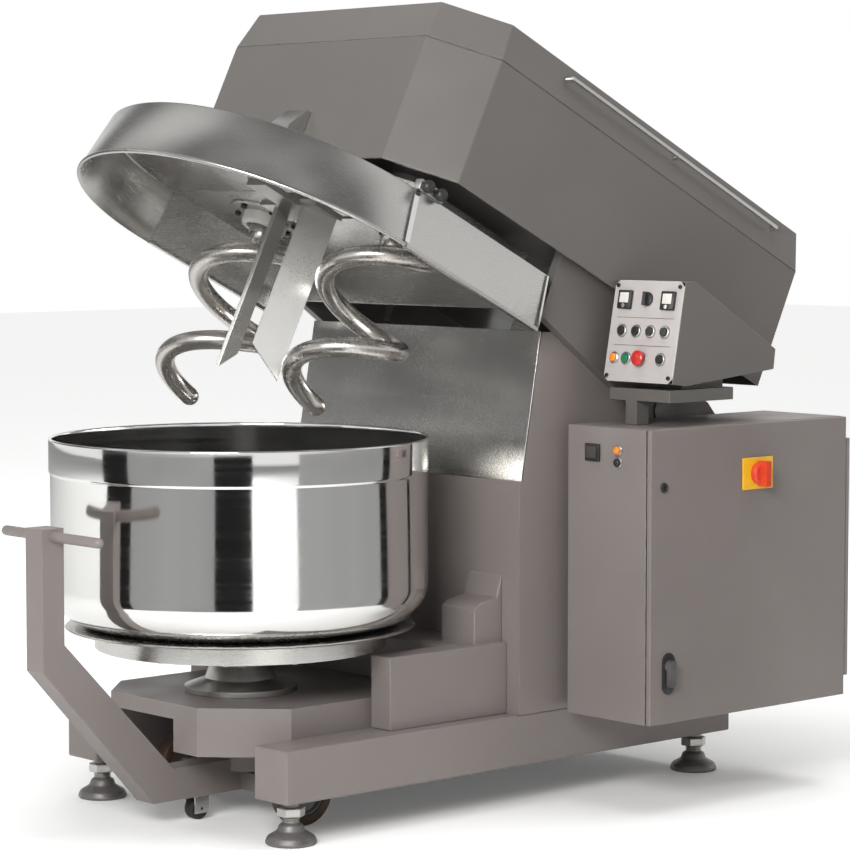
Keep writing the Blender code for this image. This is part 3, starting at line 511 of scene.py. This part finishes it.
def bowl_outline():
    """Outer face from the floor's middle up to the rolled rim, then the inner face back down."""
    floor = BOWL_LOW.z
    wall = RIM_RADIUS - 0.004
    thick = 0.005
    corner = 0.110
    flat = wall - corner
    quarter = [pi / 2 * k / 20 for k in range(21)]
    outer = [(0, floor), (flat, floor)]
    outer += [(flat + corner * sin(a), floor + corner * (1 - cos(a))) for a in quarter[1:]]
    outer += [(wall, BAND_BOTTOM - 0.004), (wall + 0.001, BAND_BOTTOM - 0.001),
              (RIM_RADIUS - 0.0005, BAND_BOTTOM + 0.003), (RIM_RADIUS, BAND_BOTTOM + 0.006)]
    bead = 0.0045
    middle = RIM_RADIUS - bead
    half_turn = [pi * k / 8 for k in range(9)]
    outer += [(middle + bead * cos(a), RIM_TOP - bead + bead * sin(a)) for a in half_turn]
    small = corner - thick
    inner = [(middle - bead, RIM_TOP - 0.012), (wall - thick, RIM_TOP - 0.016)]
    inner += [(flat + small * sin(a), floor + thick + small * (1 - cos(a))) for a in quarter[:0:-1]]
    inner += [(flat, floor + thick), (0, floor + thick)]
    return outer + inner


def build_bowl():
    """Spun bowl with a band round the rim, and the bolted ring and cone under it."""
    made = finish_mesh("bowl_shell", turn(bowl_outline(), BOWL_AXIS, segments=160), POLISHED, "bowl_unit")
    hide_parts("bowl")

    ring = RIM_RADIUS - 0.116
    base = rounded([(0, HUB_BOTTOM), (0.100, HUB_BOTTOM), (0.140, 0.440), (0.240, 0.480), (0.300, 0.484),
                    (0.300, RING_BOTTOM), (ring, RING_BOTTOM), (ring, FLANGE_LOW), (0.455, FLANGE_LOW),
                    (0.462, FLANGE_EDGE), (0.455, FLANGE_TOP), (0, FLANGE_TOP)], 0.002, 3)
    made = finish_mesh("bowl_base_ring", turn(base, BOWL_AXIS, segments=128), STEEL_SIDE, "bowl_unit")
    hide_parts("bowl_base")
    for k in range(RING_BOLTS):
        angle = 2 * pi * (k + 0.5) / RING_BOLTS
        spot = machine_point(BOLT_CIRCLE * cos(angle), BOLT_CIRCLE * sin(angle), RING_BOTTOM - GAP)
        bolt(f"ring_bolt_{k + 1}", spot, (0, 0, -1), 0.008, SATIN, "bowl_unit")


# ---------------------------------------------------------------- spiral tools, cover and head details

BAR_RADIUS = 0.026


def spiral_path(x):
    """Middle line of a spiral: down the spindle, swinging out to full radius, then a falling coil."""
    start = radians(48)
    swing = radians(80)
    turns = 1.70 * 2 * pi
    pitch = 0.260
    swing_drop = 0.012
    radius_full = 0.125
    top = 0.088
    points = [(x, TOOL_Y, 0.122), (x, TOOL_Y, 0.108), (x, TOOL_Y, top + 0.006)]
    count = 220
    for k in range(1, count + 1):
        travelled = -swing + (turns + swing) * k / count
        share = min((travelled + swing) / swing, 1.0)
        radius = radius_full * (1 - (1 - share) ** 2)
        fall = pitch * max(travelled, 0) / (2 * pi) + swing_drop * share
        angle = start - travelled
        points.append((x + radius * cos(angle), TOOL_Y + radius * sin(angle), top - fall))
    return points


def build_tools():
    """Round-bar spirals, each with a collar where it meets the spindle."""
    for side, sign in SIDES:
        x = sign * TOOL_X
        body = f"tool_{side}"
        coil = sweep(spiral_path(x), BAR_RADIUS, 24, (False, True))
        made = finish_mesh(f"spiral_hook_{side}", coil, TOOL_STEEL, body, HEAD, 50)
        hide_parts(f"spiral_{side}")
        collar = turn(rounded([(0.0315, 0.100), (0.034, 0.100), (0.034, 0.1222), (0.0275, 0.1222)], 0.002),
                      (x, TOOL_Y, 0), segments=40)
        finish_mesh(f"tool_collar_{side}", collar, SATIN, body, HEAD)


def build_cover():
    """Front half of the bowl cover with a rolled lip, and the bright joint strips of the rear half."""
    thick = 0.003
    notch = 0.120
    lip = 0.006
    roll = [(COVER_LIP + lip * cos(a), lip + lip * sin(a)) for a in [pi / 2 - pi * k / 6 for k in range(7)]]
    profile = [(notch, COVER_HEIGHT), (COVER_TOP - 0.004, COVER_HEIGHT), (COVER_TOP, COVER_HEIGHT - 0.004),
               (COVER_LIP - 0.0005, 2 * lip), *roll, (COVER_LIP - lip, lip),
               (COVER_TOP - thick - 0.0005, COVER_HEIGHT - thick - 0.003),
               (COVER_TOP - thick - 0.004, COVER_HEIGHT - thick), (notch, COVER_HEIGHT - thick)]
    made = finish_mesh("cover_hood_front", part_turn(profile, pi, 2 * pi, 96), STEEL_SIDE, "head", HEAD)
    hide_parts("cover_front")
    stand_off = 0.0008
    for name, side in SIDES:
        for tag, y, width in (("front", -0.006, 0.016), ("rear", COVER_REAR - 0.004, 0.006)):
            low = Vector((side * (COVER_LIP + stand_off), y, 0.0125))
            high = Vector((side * (COVER_TOP + stand_off), y, COVER_HEIGHT - 0.002))
            out = Vector((side * 0.005, 0, 0))
            wide = Vector((0, width, 0))
            strip = loft([[low, low + out, low + out + wide, low + wide],
                          [high, high + out, high + out + wide, high + wide]])
            finish_mesh(f"cover_strip_{tag}_{name}", strip, POLISHED, "head", HEAD)


CLIP_X = 0.500
CLIP_HALF = 0.012
CLIP_KNOBS = (0.020, 0.068)  # behind the cover's centre
FLANGE_BOTTOM = 0.150
FLANGE_SEAT = 0.1565  # just under the tool plate
PLATE_BOLTS = 6
PLATE_BOLT_CIRCLE = 0.086


def build_clips():
    """A bracket with two round clips on each side, where the cover's halves meet."""
    knob_outline = rounded([(0, 0), (0.015, 0), (0.017, 0.006), (0.017, 0.018), (0.010, 0.024), (0, 0.024)],
                           0.003)
    for name, side in SIDES:
        low = (side * CLIP_X - CLIP_HALF, 0.000, COVER_HEIGHT + 0.001)
        high = (side * CLIP_X + CLIP_HALF, 0.090, 0.190)
        finish_mesh(f"clip_bracket_{name}", block(low, high, 0.002), SATIN, "head", HEAD)
        for k, y in enumerate(CLIP_KNOBS):
            knob = turn(knob_outline, (side * (CLIP_X + CLIP_HALF), y, 0.176), (side, 0, 0), 28)
            finish_mesh(f"clip_knob_{name}_{k + 1}", knob, BLACK, "head", HEAD)


def build_spindle_seats():
    """A bolted flange and a white cup round each spindle, under the tool plate."""
    cup_outline = rounded([(0.0455, FLANGE_SEAT), (0.0455, 0.116), (0.058, 0.116), (0.063, 0.122),
                           (0.063, FLANGE_SEAT)], 0.004)
    flange_outline = rounded([(0.0635, FLANGE_SEAT), (0.0635, FLANGE_BOTTOM), (0.108, FLANGE_BOTTOM),
                              (0.108, FLANGE_SEAT)], 0.002)
    for name, side in SIDES:
        centre = (side * TOOL_X, TOOL_Y, 0)
        for k in range(PLATE_BOLTS):
            angle = 2 * pi * (k + 0.5) / PLATE_BOLTS
            spot = (side * TOOL_X + PLATE_BOLT_CIRCLE * cos(angle), TOOL_Y + PLATE_BOLT_CIRCLE * sin(angle),
                    FLANGE_BOTTOM - GAP)
            bolt(f"plate_bolt_{name}_{k + 1}", spot, (0, 0, -1), 0.009, BLACK, "head", HEAD)
        cup = turn(cup_outline, centre, segments=64)
        finish_mesh(f"spindle_cup_{name}", cup, WHITE, "head", HEAD)
        flange = turn(flange_outline, centre, segments=64)
        finish_mesh(f"spindle_flange_{name}", flange, SATIN, "head", HEAD)


# ---------------------------------------------------------------- feet, wheels and handle

NUT_BOTTOM, NUT_TOP = 0.070, 0.094
STEM_RADIUS = 0.020
THREAD_START = 0.055
THREAD_PITCH = 0.004
THREAD_TURNS = 14


def build_feet():
    """Levelling feet: a round pad and stem, a hexagon nut and the ridges of the thread."""
    nut_outline = [(0.0205, NUT_BOTTOM), (0.034, NUT_BOTTOM), (0.036, NUT_BOTTOM + 0.003),
                   (0.036, NUT_TOP - 0.003), (0.034, NUT_TOP), (0.0205, NUT_TOP)]
    threads = [(STEM_RADIUS + 0.0003, THREAD_START)]
    for k in range(THREAD_TURNS):
        climb = THREAD_START + k * THREAD_PITCH
        threads += [(STEM_RADIUS + 0.0032, climb + 0.001), (STEM_RADIUS + 0.0004, climb + 0.003)]
    threads += [(STEM_RADIUS + 0.0003, THREAD_START + 0.0005 + THREAD_TURNS * THREAD_PITCH)]
    for side in ("front_left", "front_right", "rear_left", "rear_right"):
        low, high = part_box(f"foot_{side}")
        centre = Vector(((low.x + high.x) / 2, (low.y + high.y) / 2, 0))
        top = high.z
        profile = rounded([(0, 0.0), (0.064, 0.0), (0.066, 0.007), (0.060, 0.020), (0.036, 0.034),
                           (0.030, 0.050), (STEM_RADIUS, 0.054), (STEM_RADIUS, top), (0, top)], 0.004, 4)
        made = finish_mesh(f"foot_pad_{side}", turn(profile, centre, segments=56), PAD, "machine")
        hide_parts(f"foot_{side}")
        nut = turn(nut_outline, centre, segments=6)
        finish_mesh(f"foot_nut_{side}", nut, SATIN, "machine", smooth_angle=20)
        finish_mesh(f"foot_thread_{side}", turn(threads, centre, segments=40), SATIN, "machine")


def build_wheels():
    """Trolley wheels: a cast rim with a brown tyre round it."""
    rim_outline = rounded([(0.0147, -0.024), (0.026, -0.024), (0.026, -0.012), (0.052, -0.010),
                           (0.056, -0.019), (0.0618, -0.019), (0.0618, 0.019), (0.056, 0.019),
                           (0.052, 0.010), (0.026, 0.012), (0.026, 0.024), (0.0147, 0.024)], 0.002, 2)
    for side, _ in SIDES:
        low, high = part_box(f"wheel_{side}")
        centre = (low + high) / 2
        radius = (high.z - low.z) / 2
        tyre = rounded([(0.062, -0.022), (0.078, -0.024), (0.087, -0.021), (radius, -0.010), (radius, 0.010),
                        (0.087, 0.021), (0.078, 0.024), (0.062, 0.022)], 0.004, 3)
        tyre = turn(tyre, centre, (1, 0, 0), 72)
        made = finish_mesh(f"tyre_{side}", tyre, TYRE, f"wheel_{side}")
        rim = turn(rim_outline, centre, (1, 0, 0), 56)
        finish_mesh(f"wheel_rim_{side}", rim, CAST, f"wheel_{side}")
        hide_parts(f"wheel_{side}")


def build_handle():
    """Round push bar with domed ends, as long as its CAD node."""
    low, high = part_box("trolley_handle")
    middle = (low + high) / 2
    radius = (high.z - low.z) / 2
    steps = 24
    length = high.x - low.x - 2 * radius
    path = [(low.x + radius + length * k / steps, middle.y, middle.z) for k in range(steps + 1)]
    bar = sweep(path, radius, 24, (True, True))
    made = finish_mesh("push_bar", bar, GREY_LIGHT, "trolley")
    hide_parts("trolley_handle")


# ---------------------------------------------------------------- control panel and cabinet

PANEL_SEAT = PLATE_FACE + GAP
TIMER_X = 0.078
TIMER_HALF, TIMER_LOW, TIMER_HIGH, TIMER_DEPTH = 0.024, 0.058, 0.108, 0.010
WINDOW_HALF, WINDOW_LOW, WINDOW_HIGH = 0.016, 0.074, 0.101
BEZEL_HOLE, BEZEL_RADIUS, BEZEL_TOP_RADIUS = 0.0130, 0.0175, 0.0155
BEZEL_HEIGHT, BEZEL_EDGE = 0.0055, 0.001
STOP_BEZEL_HEIGHT, STOP_BEZEL_EDGE = 0.0035, 0.0004  # low, because the wide head comes down over it
LAMP_X, LAMP_Y = -0.094, -0.073
SCREW_X, SCREW_Y = 0.112, 0.121
RULE_HALF, RULE_WIDTH = 0.104, 0.0012


def panel_piece(name, bm, look):
    """A piece fixed to the control plate, made in the panel's own axes."""
    finish_mesh(name, bm, look, "machine", PANEL)


def panel_centre(name):
    """Middle of a CAD node across the panel, measured in the panel's axes so that it's on the node's axis."""
    node = NODES[name]
    to_panel = PANEL.inverted() @ node.matrix_world
    spots = [to_panel @ vert.co for vert in node.data.vertices]
    return [(min(spot[k] for spot in spots) + max(spot[k] for spot in spots)) / 2 for k in (0, 1)]


def build_timers():
    """Two timers: a black body with a pale window and a small dial below it."""
    dial_outline = rounded([(0, 0), (0.006, 0), (0.006, 0.004), (0, 0.004)], 0.001)
    for name, side in SIDES:
        x = side * TIMER_X
        body = block((x - TIMER_HALF, TIMER_LOW, PANEL_SEAT),
                     (x + TIMER_HALF, TIMER_HIGH, PANEL_SEAT + TIMER_DEPTH), 0.0025)
        panel_piece(f"timer_body_{name}", body, BLACK)
        window = block((x - WINDOW_HALF, WINDOW_LOW, PANEL_SEAT + TIMER_DEPTH - 0.001),
                       (x + WINDOW_HALF, WINDOW_HIGH, PANEL_SEAT + TIMER_DEPTH + 0.0015), 0.001)
        panel_piece(f"timer_window_{name}", window, WHITE)
        dial = turn(dial_outline, (x, 0.066, PANEL_SEAT + TIMER_DEPTH), segments=24)
        panel_piece(f"timer_dial_{name}", dial, SATIN)


def build_bezels():
    for button in BUTTONS:
        x, y = panel_centre(button)
        tall, edge = BEZEL_HEIGHT, BEZEL_EDGE
        if button == "stop_button":
            tall, edge = STOP_BEZEL_HEIGHT, STOP_BEZEL_EDGE
        outline = rounded([(BEZEL_HOLE, 0), (BEZEL_RADIUS, 0), (BEZEL_RADIUS, tall - 0.0025),
                           (BEZEL_TOP_RADIUS, tall), (BEZEL_HOLE, tall)], edge, 2)
        panel_piece(f"bezel_{button}", turn(outline, (x, y, PANEL_SEAT), segments=36), SATIN)


def build_panel():
    """Timers, bezels, lamp, corner screws and ruled lines on the plate. The face carries no lettering."""
    build_timers()
    build_bezels()
    lamp_spot = (LAMP_X, LAMP_Y, PANEL_SEAT)
    lens = rounded([(0, 0), (0.012, 0), (0.012, 0.008), (0.009, 0.012), (0, 0.013)], 0.003)
    panel_piece("power_lamp_lens", turn(lens, lamp_spot, segments=36), AMBER)
    collar = rounded([(0.0123, 0), (0.016, 0), (0.016, 0.003), (0.0123, 0.005)], 0.001, 2)
    panel_piece("power_lamp_ring", turn(collar, lamp_spot, segments=36), SATIN)
    for i, x in enumerate((-SCREW_X, SCREW_X)):
        for j, y in enumerate((-SCREW_Y, SCREW_Y)):
            spot = (x, y, PANEL_SEAT)
            bolt(f"panel_screw_{i + 1}{j + 1}", spot, (0, 0, 1), 0.0055, BLACK, "machine", PANEL)
    for name, y in (("upper", 0.036), ("lower", -0.038)):
        rule = block((-RULE_HALF, y - RULE_WIDTH / 2, PANEL_SEAT - 0.0001),
                     (RULE_HALF, y + RULE_WIDTH / 2, PANEL_SEAT + 0.0004))
        panel_piece(f"panel_rule_{name}", rule, DARK)


def cut_away(made, cutter):
    """Subtract a closed bmesh from an object and keep the result as its mesh."""
    bmesh.ops.recalc_face_normals(cutter, faces=cutter.faces)
    mesh = bpy.data.meshes.new("cutter")
    cutter.to_mesh(mesh)
    cutter.free()
    tool = bpy.data.objects.new("cutter", mesh)
    bpy.context.scene.collection.objects.link(tool)
    step = made.modifiers.new("cut", "BOOLEAN")
    step.operation = "DIFFERENCE"
    step.object = tool
    result = bmesh.new()
    result.from_object(made, bpy.context.evaluated_depsgraph_get())
    made.modifiers.remove(step)
    result.to_mesh(made.data)
    result.free()
    bpy.data.objects.remove(tool, do_unlink=True)


ISOLATOR_HALF_WIDE, ISOLATOR_HALF_HIGH = 0.060, 0.043
LOCK_INSET, LOCK_HEIGHT = 0.048, 0.869
LATCH_END_RADIUS = 0.024
LATCH_ABOVE, LATCH_BELOW = 0.010, -0.052  # centres of the oval's two ends, from the latch's axis
LATCH_HOLE = 0.0168
SOCKET_X, SOCKET_HEIGHT = 0.602, 0.952
CAP_X = 0.694
CAPS = (("pilot", 0.962, AMBER, "amber_lens"), ("reset", 0.930, BLACK, "black_plastic"))


def build_door_fittings():
    """The isolator's yellow plate and the key lock."""
    low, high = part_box("cabinet_door")
    face = high.x
    seat = face + DOOR_GAP
    isolator = joint_place("isolator_turn")
    plate = block((seat, isolator.y - ISOLATOR_HALF_WIDE, isolator.z - ISOLATOR_HALF_HIGH),
                  (face + 0.0048, isolator.y + ISOLATOR_HALF_WIDE, isolator.z + ISOLATOR_HALF_HIGH), 0.0018)
    finish_mesh("isolator_plate", plate, YELLOW, "door")
    lock = rounded([(0, 0), (0.013, 0), (0.013, 0.004), (0.009, 0.007), (0.007, 0.003), (0, 0.003)], 0.001, 2)
    lock = turn(lock, (seat, low.y + LOCK_INSET, LOCK_HEIGHT), (1, 0, 0), 36)
    finish_mesh("door_key_lock", lock, BLACK, "door")


def build_latch_plate():
    """Oval plate on the door, with a hole round the latch."""
    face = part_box("cabinet_door")[1].x
    latch = joint_place("latch_turn")
    count = 32
    loops = []
    for inset, out in ((0.0, DOOR_GAP), (0.0, 0.0030), (0.0015, 0.0040)):
        radius = LATCH_END_RADIUS - inset
        loop = []
        for k in range(count):
            angle = 2 * pi * (k + 0.5) / count
            middle = LATCH_ABOVE if sin(angle) > 0 else LATCH_BELOW
            loop.append((face + out, latch.y + radius * cos(angle), latch.z + middle + radius * sin(angle)))
        loops.append(loop)
    deep = 0.01
    hole = turn([(0, -deep), (LATCH_HOLE, -deep), (LATCH_HOLE, deep), (0, deep)], (face, latch.y, latch.z),
                (1, 0, 0), count)
    made = finish_mesh("latch_escutcheon", loft(loops), BLACK, "door")
    cut_away(made, hole)


def build_cabinet_front():
    """Socket with its flap, and two small round caps, on the cabinet's side toward the bowl."""
    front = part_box("cabinet_body")[0].y
    seat = front - DOOR_GAP
    x = BOWL_AXIS.x + SOCKET_X
    z = SOCKET_HEIGHT
    surround = block((x - 0.026, front - 0.008, z - 0.023), (x + 0.026, seat, z + 0.023), 0.0022)
    finish_mesh("socket_frame", surround, BLACK, "machine")
    flap = block((x - 0.018, front - 0.0115, z - 0.015), (x + 0.018, front - 0.0083, z + 0.015), 0.001)
    finish_mesh("socket_flap", flap, DARK, "machine")
    lens_outline = rounded([(0, 0), (0.011, 0), (0.011, 0.008), (0.008, 0.012), (0, 0.013)], 0.003)
    ring_outline = rounded([(0.0113, 0), (0.0145, 0), (0.0145, 0.003), (0.0113, 0.004)], 0.001, 2)
    for name, height, look, slot in CAPS:
        spot = (BOWL_AXIS.x + CAP_X, seat, height)
        lens = turn(lens_outline, spot, (0, -1, 0), 32)
        finish_mesh(f"cabinet_{name}_cap", lens, look, "machine")
        ring = turn(ring_outline, spot, (0, -1, 0), 32)
        finish_mesh(f"cabinet_{name}_ring", ring, SATIN, "machine")


# ---------------------------------------------------------------- studio

def area_light(name, aim, place, size, power, glossy=True):
    """Rectangular soft light aimed at a point; glossy=False keeps it out of reflections."""
    data = bpy.data.lights.new(name, "AREA")
    data.shape = "RECTANGLE"
    data.size, data.size_y = size
    data.energy = power
    made = bpy.data.objects.new(name, data)
    bpy.context.scene.collection.objects.link(made)
    made.location = place
    made.rotation_euler = (Vector(aim) - Vector(place)).to_track_quat("-Z", "Y").to_euler()
    made.visible_glossy = glossy


def card_look(name, brightness):
    """Glowing card for reflections, its brightness varying slowly so that its reflection isn't flat."""
    material = bpy.data.materials.new(name)
    material.use_nodes = True
    tree = material.node_tree
    tree.nodes.clear()
    output = tree.nodes.new("ShaderNodeOutputMaterial")
    glow = tree.nodes.new("ShaderNodeEmission")
    glow.inputs["Strength"].default_value = 1.0
    place = tree.nodes.new("ShaderNodeTexCoord")
    fade = tree.nodes.new("ShaderNodeTexNoise")
    fade.inputs["Scale"].default_value = 0.9
    tone = tree.nodes.new("ShaderNodeMapRange")
    tone.inputs["To Min"].default_value = brightness * 0.7
    tone.inputs["To Max"].default_value = brightness * 1.3
    tree.links.new(place.outputs["Object"], fade.inputs["Vector"])
    tree.links.new(fade.outputs["Fac"], tone.inputs["Value"])
    tree.links.new(tone.outputs["Result"], glow.inputs["Color"])
    tree.links.new(glow.outputs["Emission"], output.inputs["Surface"])
    return material


FLOOR_REACH = 30
DARK_CARDS = ((-77, -60), (-13, 6), (82, 91), (122, 128))  # degrees to the right of the camera
GREY_CARDS = ((-60, -13), (30, 82))


def reflection_card(name, start, end, look, low=0.02, high=1.1, distance=1.7):
    """Upright curved card round the bowl, seen only in reflections; angles run to the right of the camera."""
    steps = 12
    bm = bmesh.new()
    columns = []
    for k in range(steps + 1):
        angle = radians(CAMERA_BEARING + start + (end - start) * k / steps)
        spot = machine_point(distance * cos(angle), distance * sin(angle), 0)
        columns.append([bm.verts.new(spot + Vector((0, 0, z))) for z in (low, high)])
    for here, following in zip(columns, columns[1:]):
        bm.faces.new((here[0], following[0], following[1], here[1]))
    mesh = bpy.data.meshes.new(name)
    bm.to_mesh(mesh)
    bm.free()
    mesh.materials.append(look)
    made = bpy.data.objects.new(name, mesh)
    bpy.context.scene.collection.objects.link(made)
    made.visible_camera = False
    made.visible_shadow = False
    made.visible_diffuse = False


LOW_SKY = 0.92  # brightness of the world low down in reflections
SOFT_LIGHT = 0.29  # as light on the surfaces
BACKGROUND = 1.0  # as the camera sees it


def build_world():
    """White to the camera, dimmer as soft light, and in reflections bright low down and cloudy overhead."""
    world = bpy.data.worlds.new("studio_world")
    bpy.context.scene.world = world
    world.use_nodes = True
    tree = world.node_tree
    back = tree.nodes["Background"]
    back.inputs["Color"].default_value = (1, 1, 1, 1)

    def ranged(value, start, end, low, high):
        made = tree.nodes.new("ShaderNodeMapRange")
        for name, number in (("From Min", start), ("From Max", end), ("To Min", low), ("To Max", high)):
            made.inputs[name].default_value = number
        tree.links.new(value, made.inputs["Value"])
        return made.outputs["Result"]

    def mixed(factor, first, second):
        made = tree.nodes.new("ShaderNodeMix")
        tree.links.new(factor, made.inputs["Factor"])
        for name, value in (("A", first), ("B", second)):
            if isinstance(value, float):
                made.inputs[name].default_value = value
            else:
                tree.links.new(value, made.inputs[name])
        return made.outputs["Result"]

    rays = tree.nodes.new("ShaderNodeLightPath")
    direction = tree.nodes.new("ShaderNodeTexCoord").outputs["Generated"]
    split = tree.nodes.new("ShaderNodeSeparateXYZ")
    tree.links.new(direction, split.inputs["Vector"])
    clouds = tree.nodes.new("ShaderNodeTexNoise")
    clouds.inputs["Scale"].default_value = 1.7
    clouds.inputs["Detail"].default_value = 1.0
    tree.links.new(direction, clouds.inputs["Vector"])
    overhead = ranged(clouds.outputs["Fac"], 0.38, 0.64, 0.16, 0.85)
    reflected = mixed(ranged(split.outputs["Z"], 0.12, 0.40, 0.0, 1.0), LOW_SKY, overhead)
    lit = mixed(rays.outputs["Is Diffuse Ray"], reflected, SOFT_LIGHT)
    tree.links.new(mixed(rays.outputs["Is Camera Ray"], lit, BACKGROUND), back.inputs["Strength"])


def build_studio():
    """Floor, world, three soft lights, and the cards that band the polished bowl."""
    mesh = bpy.data.meshes.new("studio_floor")
    reach = FLOOR_REACH
    corners = [(-reach, -reach, 0), (reach, -reach, 0), (reach, reach, 0), (-reach, reach, 0)]
    mesh.from_pydata(corners, [], [(0, 1, 2, 3)])
    mesh.materials.append(floor_look())
    floor = bpy.data.objects.new("studio_floor", mesh)
    bpy.context.scene.collection.objects.link(floor)
    build_world()

    aim = machine_point(0.1, 0.4, 1.0)
    area_light("key", aim, machine_point(3.4, -4.6, 3.4), (2.6, 2.0), 350)
    area_light("side", aim, machine_point(-4.2, -3.8, 3.6), (2.6, 2.2), 80)
    area_light("top", aim, machine_point(0.5, 1.2, 6.0), (5.0, 5.0), 300, glossy=False)

    dark = card_look("card_dark", 0.015)
    grey = card_look("card_grey", 0.36)
    for k, (start, end) in enumerate(DARK_CARDS):
        reflection_card(f"card_dark_{k + 1}", start, end, dark)
    for k, (start, end) in enumerate(GREY_CARDS):
        reflection_card(f"card_grey_{k + 1}", start, end, grey)
    # high and far to the left of the camera, for the splash panel and the cover
    reflection_card("card_high", -150, -84, card_look("card_deep", 0.13), low=1.35, high=3.4, distance=3.4)


CAMERA_PLACE = (6.1798, -4.9120, 1.6156)  # from the floor under the bowl axis
CAMERA_AZIMUTH, CAMERA_ELEVATION = 47.987, 4.281
FOCAL_LENGTH = 127.4


def build_camera():
    azimuth = radians(CAMERA_AZIMUTH)
    elevation = radians(CAMERA_ELEVATION)
    data = bpy.data.cameras.new("camera")
    data.lens = FOCAL_LENGTH
    data.sensor_width = 36.0
    data.clip_end = 200
    made = bpy.data.objects.new("camera", data)
    bpy.context.scene.collection.objects.link(made)
    made.location = machine_point(*CAMERA_PLACE)
    made.rotation_euler = (pi / 2 - elevation, 0, azimuth)
    bpy.context.scene.camera = made
    bpy.context.scene.view_settings.view_transform = "Standard"


dress_frame()
build_bowl()
build_tools()
build_cover()
build_clips()
build_spindle_seats()
build_feet()
build_wheels()
build_handle()
build_panel()
build_door_fittings()
build_latch_plate()
build_cabinet_front()
build_studio()
build_camera()
